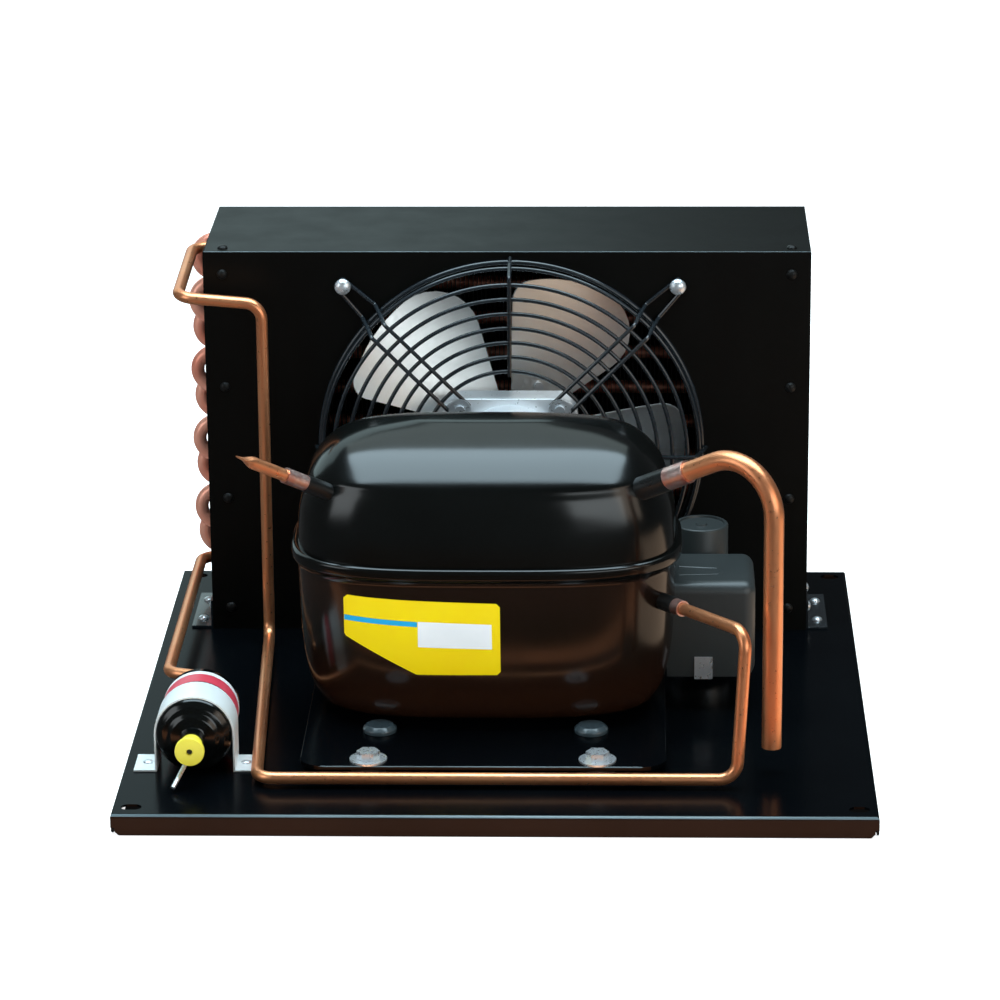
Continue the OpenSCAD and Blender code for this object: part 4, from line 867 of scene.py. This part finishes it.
@dataclass
class RefrigerantLines:
    """The copper lines, drawn round and bent, and the charging tube with its pinched tip.

    Pinch holds places from the tip, and shares of the tube's radius across and along the pinch.
    """

    line_r: float = 4.0
    suction_r: float = 6.35
    wall: float = 0.9
    bend: float = 12.0
    suction_bend: float = 32.0
    in_stub: float = 9.0
    suction: tuple[Point, ...] = ((92.0, -98.0, 184.0), (174.8, -160.0, 235.5), (174.8, -160.0, 31.0))
    discharge: tuple[Point, ...] = ((104.0, -95.0, 107.0), (157.5, -181.0, 116.0), (152.0, -189.0, 20.0),
                                    (-152.0, -189.0, 20.0), (-165.0, 80.0, 20.0), (-165.0, 80.0, 257.0),
                                    (-222.0, 80.0, 262.0), (-222.0, 195.8, 267.0), (-208.5, 195.8, 267.0))
    liquid: tuple[Point, ...] = ((-208.5, 195.8, 38.4), (-222.0, 195.8, 38.4), (-222.0, -46.0, 38.4),
                                 (-193.5, -58.0, 39.5), (-193.5, -80.0, 39.5))
    process_root: Point = (-109.3, -100.0, 181.9)
    process_tip: Point = (-161.5, -140.0, 217.1)
    pinch: tuple[Point, ...] = ((-11.0, 1, 1), (-9.0, 0.93, 1.02), (-7.0, 0.72, 1.12), (-5.0, 0.45, 1.26),
                                (-3.4, 0.26, 1.34), (-0.5, 0.2, 1.38), (0.0, 0.15, 1.34))

    def line(self, name: str, points: tuple[Point, ...], root: float, radius: float, bend: float,
             node: str, capped: bool = True) -> None:
        """Bends one line.

        Args:
            name: The piece's name.
            points: Its corners in millimetres.
            root: How far from the first corner it starts, in millimetres.
            radius: Its outer radius.
            bend: Its bend radius.
            node: The CAD node that it stands for.
            capped: Whether its ends are closed.
        """
        start = Vector(points[0]) + root * (Vector(points[1]) - Vector(points[0])).normalized()
        piece = swept(routed([tuple(start), *points[1:]], bend), radius, capped)
        if not capped:
            modified(piece, "SOLIDIFY", thickness=self.wall / 1000.0, offset=-1.0)
        settle(piece, name, Finish.COPPER, "frame", (node,))

    def pinched(self) -> None:
        """Draws the charging tube and pinches its tip."""
        root, tip = Vector(self.process_root), Vector(self.process_tip)
        d = (tip - root).normalized()
        length = (tip - root).length
        turn = Matrix.Rotation(math.atan2(d.y, d.x), 4, "Z") @ Matrix.Rotation(math.acos(d.z), 4, "Y")
        r = self.line_r
        rows = [(self.in_stub, r, r)]
        rows += [(length + z, across * r, along * r) for z, across, along in self.pinch]
        piece = lofted(rows, 40, 2.0, Matrix.Translation(metres(self.process_root)) @ turn)
        settle(piece, "process_tube_drawn", Finish.COPPER, "frame", ("process_tube",))

    def build(self) -> None:
        """Builds the lines."""
        self.line("suction_line_drawn", self.suction, self.in_stub, self.suction_r, self.suction_bend,
                  "suction_line", capped=False)
        self.line("discharge_line_drawn", self.discharge, self.in_stub, self.line_r, self.bend,
                  "discharge_line")
        self.line("liquid_line_drawn", self.liquid, 0.0, self.line_r, self.bend, "liquid_line")
        self.pinched()


@dataclass
class GuardRibs:
    """The guard's four double ribs, which end in loops round its screws, and its single ribs.

    A rib is drawn along local X, out from the guard's centre, and its heights stand off the case's face.
    """

    centre: Point = (2.5, 110.0, 148.0)
    wire: float = 1.4
    sink: float = 0.2
    half_gap: float = 6.3
    rib_z: float = 26.6
    inner: float = 45.35
    shoulder: float = 125.95
    second_r: float = 129.2
    second_z: float = 12.0
    guard_r: float = 131.0
    guard_z: float = 2.1
    base_wire: float = 1.8
    ear: float = 161.22
    ear_z: float = 1.7
    loop: float = 4.05
    single_inner: float = 57.5
    bend: float = 2.0

    def rod(self, points: list[Point], angle: float) -> bpy.types.Object:
        """Bends one rod of a rib.

        Args:
            points: Its corners in millimetres.
            angle: The rib's angle round the guard in degrees.

        Returns:
            The rod, at its place.
        """
        piece = swept(routed(points, self.bend, 15.0), self.wire, True, 3)
        face = Matrix.Translation(metres(self.centre)) @ Matrix.Rotation(math.radians(90.0), 4, "X")
        piece.data.transform(face @ Matrix.Rotation(math.radians(angle), 4, "Z"))
        return piece

    def double(self, angle: float, side: int) -> bpy.types.Object:
        """Bends one rod of a double rib down over both rings and round its screw.

        Args:
            angle: The rib's angle in degrees.
            side: -1 or 1.

        Returns:
            The rod.
        """
        gap, loop = side * self.half_gap, side * self.loop
        second, base = 2 * self.wire - self.sink, self.base_wire + self.wire - self.sink
        return self.rod([
            (self.inner, gap, self.rib_z), (self.shoulder, gap, self.rib_z),
            (self.second_r + second, gap, self.second_z),
            (self.guard_r + base + 2 * self.wire, gap, self.ear_z),
            (self.ear, loop, self.ear_z), (self.ear + self.loop, loop, self.ear_z),
            (self.ear + self.loop, 0.0, self.ear_z)], angle)

    def single(self, angle: float, side: int) -> bpy.types.Object:
        """Bends a single rib down to the rings.

        Args:
            angle: The rib's angle in degrees.
            side: 1 where it passes outside the rings, -1 inside.

        Returns:
            The rod.
        """
        second, base = 2 * self.wire - self.sink, self.base_wire + self.wire - self.sink
        return self.rod([
            (self.single_inner, 0.0, self.rib_z), (self.shoulder, 0.0, self.rib_z),
            (self.second_r + side * second, 0.0, self.second_z),
            (self.guard_r + side * base, 0.0, self.guard_z)], angle)

    def build(self) -> None:
        """Builds the ribs as one welded piece; the bottom one lies inside the rings."""
        rods = [self.double(angle, side) for angle in (45.0, 135.0, 225.0, 315.0) for side in (-1, 1)]
        rods += [self.single(angle, side) for angle, side in ((0.0, 1), (90.0, 1), (180.0, 1), (270.0, -1))]
        settle(joined(rods), "guard_ribs_drawn", Finish.WIRE, "frame", ("guard_ribs",))


@dataclass
class CoilPack:
    """The coil's thin fins, close enough to look like a block and open enough to show the tubes."""

    left: float = -204.0
    right: float = 183.0
    front: float = 184.8
    depth: float = 44.0
    low: float = 25.7
    high: float = 279.7
    pitch: float = 3.0
    sheet: float = 0.25
    wave: float = 1.8
    waves: float = 2.5
    flat: float = 0.25

    def build(self) -> None:
        """Folds one fin, flat at its front and waved behind, and repeats it across the pack."""
        begin()
        bpy.ops.mesh.primitive_plane_add(size=1.0)
        piece = bpy.context.object
        bpy.ops.object.mode_set(mode="EDIT")
        bpy.ops.mesh.subdivide(number_cuts=9)
        bpy.ops.object.mode_set(mode="OBJECT")
        tall = self.high - self.low
        for vertex in piece.data.vertices:
            across, up = vertex.co.x + 0.5, vertex.co.y + 0.5
            wave = self.wave * math.sin(across * 2.0 * math.pi * self.waves) if across > self.flat else 0.0
            vertex.co = metres((self.left + wave, self.front + across * self.depth, self.low + up * tall))
        modified(piece, "SOLIDIFY", thickness=self.sheet / 1000.0, offset=0.0)
        count = int((self.right - self.left) / self.pitch)
        step = (self.right - self.left) / (count - 1) / 1000.0
        modified(piece, "ARRAY", count=count, use_relative_offset=False, use_constant_offset=True,
                 constant_offset_displace=(step, 0.0, 0.0))
        settle(piece, "coil_fin_pack", Finish.FIN, "frame", ("coil_fins",))


@dataclass
class TerminalBox:
    """The terminal cover with its rounded edges, its wire bail, and the start capacitor with its sunk lid.

    The bail's corners are places on the cover's top, from its left and front edges. Foot and lid hold heights
    from the can's ends and shares of its radius.
    """

    left: float = 109.0
    right: float = 167.0
    front: float = -50.0
    back: float = 18.0
    low: float = 38.0
    high: float = 103.0
    ease: float = 8.0
    bail_r: float = 1.1
    bail_sink: float = 0.9
    bail_end: Point = (8.0, 34.0, 0.6)
    bail_corners: tuple[Pair, ...] = ((34.0, 32.0), (36.0, 20.0), (8.0, 18.0))
    can_x: float = 132.5
    can_y: float = 37.0
    can_low: float = 26.5
    can_high: float = 116.5
    can_r: float = 18.0
    foot: tuple[Pair, ...] = ((0.0, 0.92), (1.0, 0.99), (2.2, 1))
    lid: tuple[Pair, ...] = ((-1.2, 1), (-0.4, 0.98), (0.0, 0.95), (0.0, 0.87), (-1.4, 0.85), (-1.4, 0.24),
                             (-0.2, 0.2), (-0.1, 0.08))

    def cover(self) -> None:
        """Moulds the cover from a block, with rounded edges round its top and its right side."""
        begin()
        low = metres((self.left, self.front, self.low))
        high = metres((self.right, self.back, self.high))
        bpy.ops.mesh.primitive_cube_add(size=1.0, location=(low + high) / 2.0, scale=high - low)
        piece = bpy.context.object
        bpy.ops.object.transform_apply(location=True, rotation=True, scale=True)
        faces = ((0, high.x), (1, low.y), (1, high.y), (2, high.z))

        def on_corners(ends: list[Vector]) -> bool:
            """Tells whether both ends are corners of two of the faces that show."""
            return all(sum(abs(end[axis] - at) < NEAR for axis, at in faces) >= 2 for end in ends)

        rounded(piece, on_corners, self.ease, 6)
        settle(piece, "terminal_cover_moulded", Finish.PLASTIC, "frame", ("terminal_cover",))

    def bail(self) -> None:
        """Bends the wire bail that lies on the cover's top."""
        top = self.high - self.bail_sink
        x, y, z = self.bail_end
        points = [(self.left + x, self.front + y, top + z)]
        points += [(self.left + x, self.front + y, top) for x, y in self.bail_corners]
        settle(swept(routed(points, 4.0), self.bail_r, True, 3), "cover_bail", Finish.PLASTIC)

    def can(self) -> None:
        """Turns the capacitor's can with its sunk lid and its vent."""
        profile = [(self.can_low + z, share * self.can_r) for z, share in self.foot]
        profile += [(self.can_high + z, share * self.can_r) for z, share in self.lid]
        stand = Matrix.Translation(metres((self.can_x, self.can_y, 0.0)))
        settle(turned(profile, 64, stand), "start_capacitor_moulded", Finish.PLASTIC, "frame",
               ("start_capacitor",))

    def build(self) -> None:
        """Builds the box and the can."""
        self.cover()
        self.bail()
        self.can()


@dataclass
class DrierBody:
    """The drier's turned body with its stepped front, the bare bands behind its clamp, and its cap.

    Its profiles run along its axis from the front, in millimetres. Face gives radii from the neck's, shoulder
    and heel from the body's, and heel and spigot give places from the body's far end.
    """

    x: float = -193.5
    z: float = 39.5
    front: float = -165.0
    length: float = 58.0
    radius: float = 24.5
    neck: float = 8.0
    sides: int = 96
    face: tuple[Pair, ...] = ((-16.0, -2.6), (-16.0, -0.4), (-15.6, 0), (-7.6, 0), (-7.0, 1.0), (-7.0, 5.5),
                              (-6.4, 6.8), (-4.6, 8.2), (-3.9, 9.6))
    shoulder: tuple[Pair, ...] = ((-3.7, -5.0), (-3.0, -3.9), (-1.6, -2.6), (-1.1, -1.7), (0.2, -0.6),
                                  (1.5, 0))
    heel: tuple[Pair, ...] = ((-1.5, 0), (0, -0.5), (1.5, -1.5))
    spigot: tuple[Pair, ...] = ((20.0, 7.2), (21.0, 6.0), (22.0, 5.65), (34.0, 5.65))
    red: Pair = (33.0, 46.5)
    white: Pair = (46.6, 51.5)
    band_thick: float = 0.18
    cap_profile: tuple[Pair, ...] = ((-16.3, 5.3), (-16.3, 7.0), (-26.2, 7.0), (-26.4, 8.6), (-26.9, 9.4),
                                     (-29.5, 9.4), (-30.1, 9.1), (-30.3, 8.6), (-30.3, 2.1), (-29.2, 1.9),
                                     (-27.2, 1.5), (-27.1, 0.4))
    dimple_profile: tuple[Pair, ...] = ((-28.9, 1.7), (-29.0, 1.6), (-29.2, 1.1))

    def turn(self, profile: list[Pair], sides: int) -> bpy.types.Object:
        """Turns a piece round the drier's axis, whose local +Z points to the back."""
        stand = Matrix.Translation(metres((self.x, self.front, self.z)))
        return turned(profile, sides, stand @ Matrix.Rotation(math.radians(-90.0), 4, "X"))

    def body(self) -> None:
        """Turns the body with its rolled steps."""
        profile = [(y, self.neck + out) for y, out in self.face]
        profile += [(y, self.radius + out) for y, out in self.shoulder]
        profile += [(self.length + y, self.radius + out) for y, out in self.heel]
        profile += [(self.length + y, r) for y, r in self.spigot]
        piece = self.turn(profile, self.sides)
        settle(piece, "filter_drier_turned", Finish.SHELL, "frame", ("filter_drier",))

    def band(self, name: str, ends: Pair, finish: Finish) -> None:
        """Wraps a bare band round the body.

        Args:
            name: The piece's name.
            ends: Where it starts and ends along the body, in millimetres.
            finish: Its finish.
        """
        inner, outer = self.radius, self.radius + self.band_thick
        profile = [(ends[0], inner), (ends[0], outer), (ends[1], outer), (ends[1], inner)]
        settle(self.turn(profile, self.sides), name, finish)

    def cap(self) -> None:
        """Turns the cap, and the dark dimple in its flange."""
        settle(self.turn(list(self.cap_profile), 64), "seal_cap_moulded", Finish.YELLOW, "cap", ("seal_cap",))
        settle(self.turn(list(self.dimple_profile), 24), "seal_cap_dimple", Finish.RUBBER, "cap")

    def build(self) -> None:
        """Builds the drier."""
        self.body()
        self.band("drier_band_red", self.red, Finish.BAND_RED)
        self.band("drier_band_white", self.white, Finish.BAND_WHITE)
        self.cap()


EASED: tuple[Softened, ...] = (
    # A fold gives a painted highlight on the front bend. The tray's finish also gives a painted brown
    # reflection on its front.
    Softened("base_tray", Finish.TRAY, fold=2.4),
    Softened("case_shroud", Finish.CASE, fold=1.2),
    Softened("mount_plate", Finish.TRAY, fold=0.9),
    Softened("weld_pads", Finish.PAD, width=0.4),
    Softened("case_foot_left", Finish.WIRE, width=0.4),
    Softened("case_foot_right", Finish.WIRE, width=0.4),
    Softened("drier_clamp", Finish.STRAP, width=0.3),
    Softened("fan_motor", Finish.MOTOR, width=1.2),
)


@dataclass(frozen=True)
class Card:
    """A plain card that shows only in gloss or through the tray's holes: its middle and size in metres."""

    name: str
    place: Point
    size: Pair
    colour: Colour

    def lay(self) -> None:
        """Lays the card."""
        begin()
        bpy.ops.mesh.primitive_plane_add(size=1.0, location=self.place)
        card = bpy.context.object
        card.scale = (*self.size, 1.0)
        card.name = self.name
        n = Nodes(self.name)
        n.set(Base_Color=(0.0, 0.0, 0.0, 1.0), Roughness=1.0, Specular_IOR_Level=0.0)
        n.set(Emission_Color=(*self.colour, 1.0), Emission_Strength=1.0)
        card.data.materials.append(n.material)
        card.visible_diffuse = False


@dataclass(frozen=True)
class SoftBox:
    """A soft light: its place, aim and size in metres, its power in watts and its tint."""

    name: str
    place: Point
    aim: Point
    size: Pair
    power: float
    tint: Colour

    def hang(self) -> None:
        """Hangs the light."""
        data = bpy.data.lights.new(self.name, "AREA")
        data.shape = "RECTANGLE"
        data.size, data.size_y = self.size
        data.energy = self.power
        data.color = self.tint
        lamp = bpy.data.objects.new(self.name, data)
        lamp.location = self.place
        lamp.rotation_euler = (Vector(self.aim) - Vector(self.place)).to_track_quat("-Z", "Y").to_euler()
        bpy.context.scene.collection.objects.link(lamp)


@dataclass
class Studio:
    """The camera, in millimetres and degrees, the floor, the cards and the lights."""

    lens: float = 157.62
    sensor: float = 36.0
    place: Point = (86.1, -2769.7, 1040.6)
    pitch: float = 17.924
    yaw: float = -1.824
    roll: float = -0.463
    cards: tuple[Card, ...] = (
        Card("warm_card", (0.05, -0.66, -0.002), (1.3, 0.7), (0.06, 0.033, 0.018)),
        Card("tan_card", (0.62, -0.2, -0.003), (0.7, 0.75), (1.15, 0.84, 0.6)),
        Card("warm_strip", (0.0, -0.276, -0.002), (0.9, 0.066), (1.1, 0.46, 0.22)),
        # tray_shade is a near-black card that stands in for the shadow under the tray, seen through its
        # holes: painted shadow.
        Card("tray_shade", (0.0, 0.0, -0.0002), (0.472, 0.466), (0.004, 0.004, 0.004)),
    )
    lights: tuple[SoftBox, ...] = (
        SoftBox("top_box", (0.0, 0.05, 1.45), (0.0, 0.05, 0.1), (1.7, 1.05), 40.0, (0.68, 0.89, 1.0)),
        SoftBox("middle_box", (0.0, 0.95, 1.45), (0.0, 0.95, 0.1), (1.7, 0.7), 4.0, (0.8, 1.0, 1.0)),
        SoftBox("far_box", (-1.5, 3.0, 1.5), (0.0, 0.0, 0.2), (3.4, 2.4), 24.0, (0.72, 0.97, 1.0)),
        SoftBox("left_box", (-1.6, -1.1, 0.8), (0.0, 0.0, 0.15), (0.9, 1.1), 7.0, (0.9, 0.97, 1.0)),
        SoftBox("right_box", (1.7, -1.1, 0.8), (0.0, 0.0, 0.15), (0.9, 1.1), 5.0, (1.0, 0.82, 0.66)),
        SoftBox("fan_box", (1.05, -1.75, 0.62), (0.0, 0.1, 0.2), (1.3, 0.85), 9.0, (0.88, 0.97, 1.0)),
    )

    def camera(self) -> None:
        """Sets the camera as the photograph was taken."""
        data = bpy.data.cameras.new("camera")
        data.lens = self.lens
        data.sensor_width = self.sensor
        data.clip_start = 0.05
        data.clip_end = 100.0
        camera = bpy.data.objects.new("camera", data)
        bpy.context.scene.collection.objects.link(camera)
        pitch, yaw, roll = (math.radians(a) for a in (self.pitch, self.yaw, self.roll))
        ahead = Vector((math.sin(yaw) * math.cos(pitch), math.cos(yaw) * math.cos(pitch), -math.sin(pitch)))
        right = Vector((math.cos(yaw), -math.sin(yaw), 0.0))
        up = right.cross(ahead)
        across = math.cos(roll) * right + math.sin(roll) * up
        upward = math.cos(roll) * up - math.sin(roll) * right
        turn = Matrix((across, upward, -ahead)).transposed()
        camera.matrix_world = Matrix.Translation(metres(self.place)) @ turn.to_4x4()
        bpy.context.scene.camera = camera

    def floor(self) -> None:
        """Lays a plain pale floor, just under the tray."""
        bpy.ops.object.select_all(action="DESELECT")
        bpy.ops.mesh.primitive_plane_add(size=40.0, location=(0.0, 0.0, -0.0005))
        floor = bpy.context.object
        floor.name = "floor"
        n = Nodes("floor_white")
        n.set(Base_Color=(0.9, 0.9, 0.9, 1.0), Roughness=0.9, Specular_IOR_Level=0.0)
        n.set(Emission_Color=(1.0, 1.0, 1.0, 1.0), Emission_Strength=0.86)
        floor.data.materials.append(n.material)
        floor.visible_glossy = False

    def sky(self) -> None:
        """Fills the shade with a faint even light, and shows colours as they are."""
        world = bpy.data.worlds.new("studio")
        world.use_nodes = True
        background = world.node_tree.nodes["Background"]
        background.inputs["Color"].default_value = (0.95, 0.98, 1.0, 1.0)
        background.inputs["Strength"].default_value = 0.06
        bpy.context.scene.world = world
        bpy.context.scene.view_settings.view_transform = "Standard"

    def build(self) -> None:
        """Builds the studio."""
        self.camera()
        self.floor()
        for card in self.cards:
            card.lay()
        for light in self.lights:
            light.hang()
        self.sky()
        log.info("studio set")


def dress_nodes() -> None:
    """Gives each CAD node its finish."""
    for finish, names in NODE_FINISHES.items():
        for name in names:
            dress(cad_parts[name], finish)
    log.info("dressed %d nodes", len(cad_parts))


def main() -> None:
    """Builds the whole scene in order."""
    logging.basicConfig(level=logging.INFO, format="%(message)s")
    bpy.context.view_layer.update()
    Studio().build()
    dress_nodes()
    CompressorShell().build()
    RefrigerantLines().build()
    GuardRibs().build()
    CoilPack().build()
    TerminalBox().build()
    DrierBody().build()
    for piece in EASED:
        piece.build()


if __name__ == "__main__":
    main()
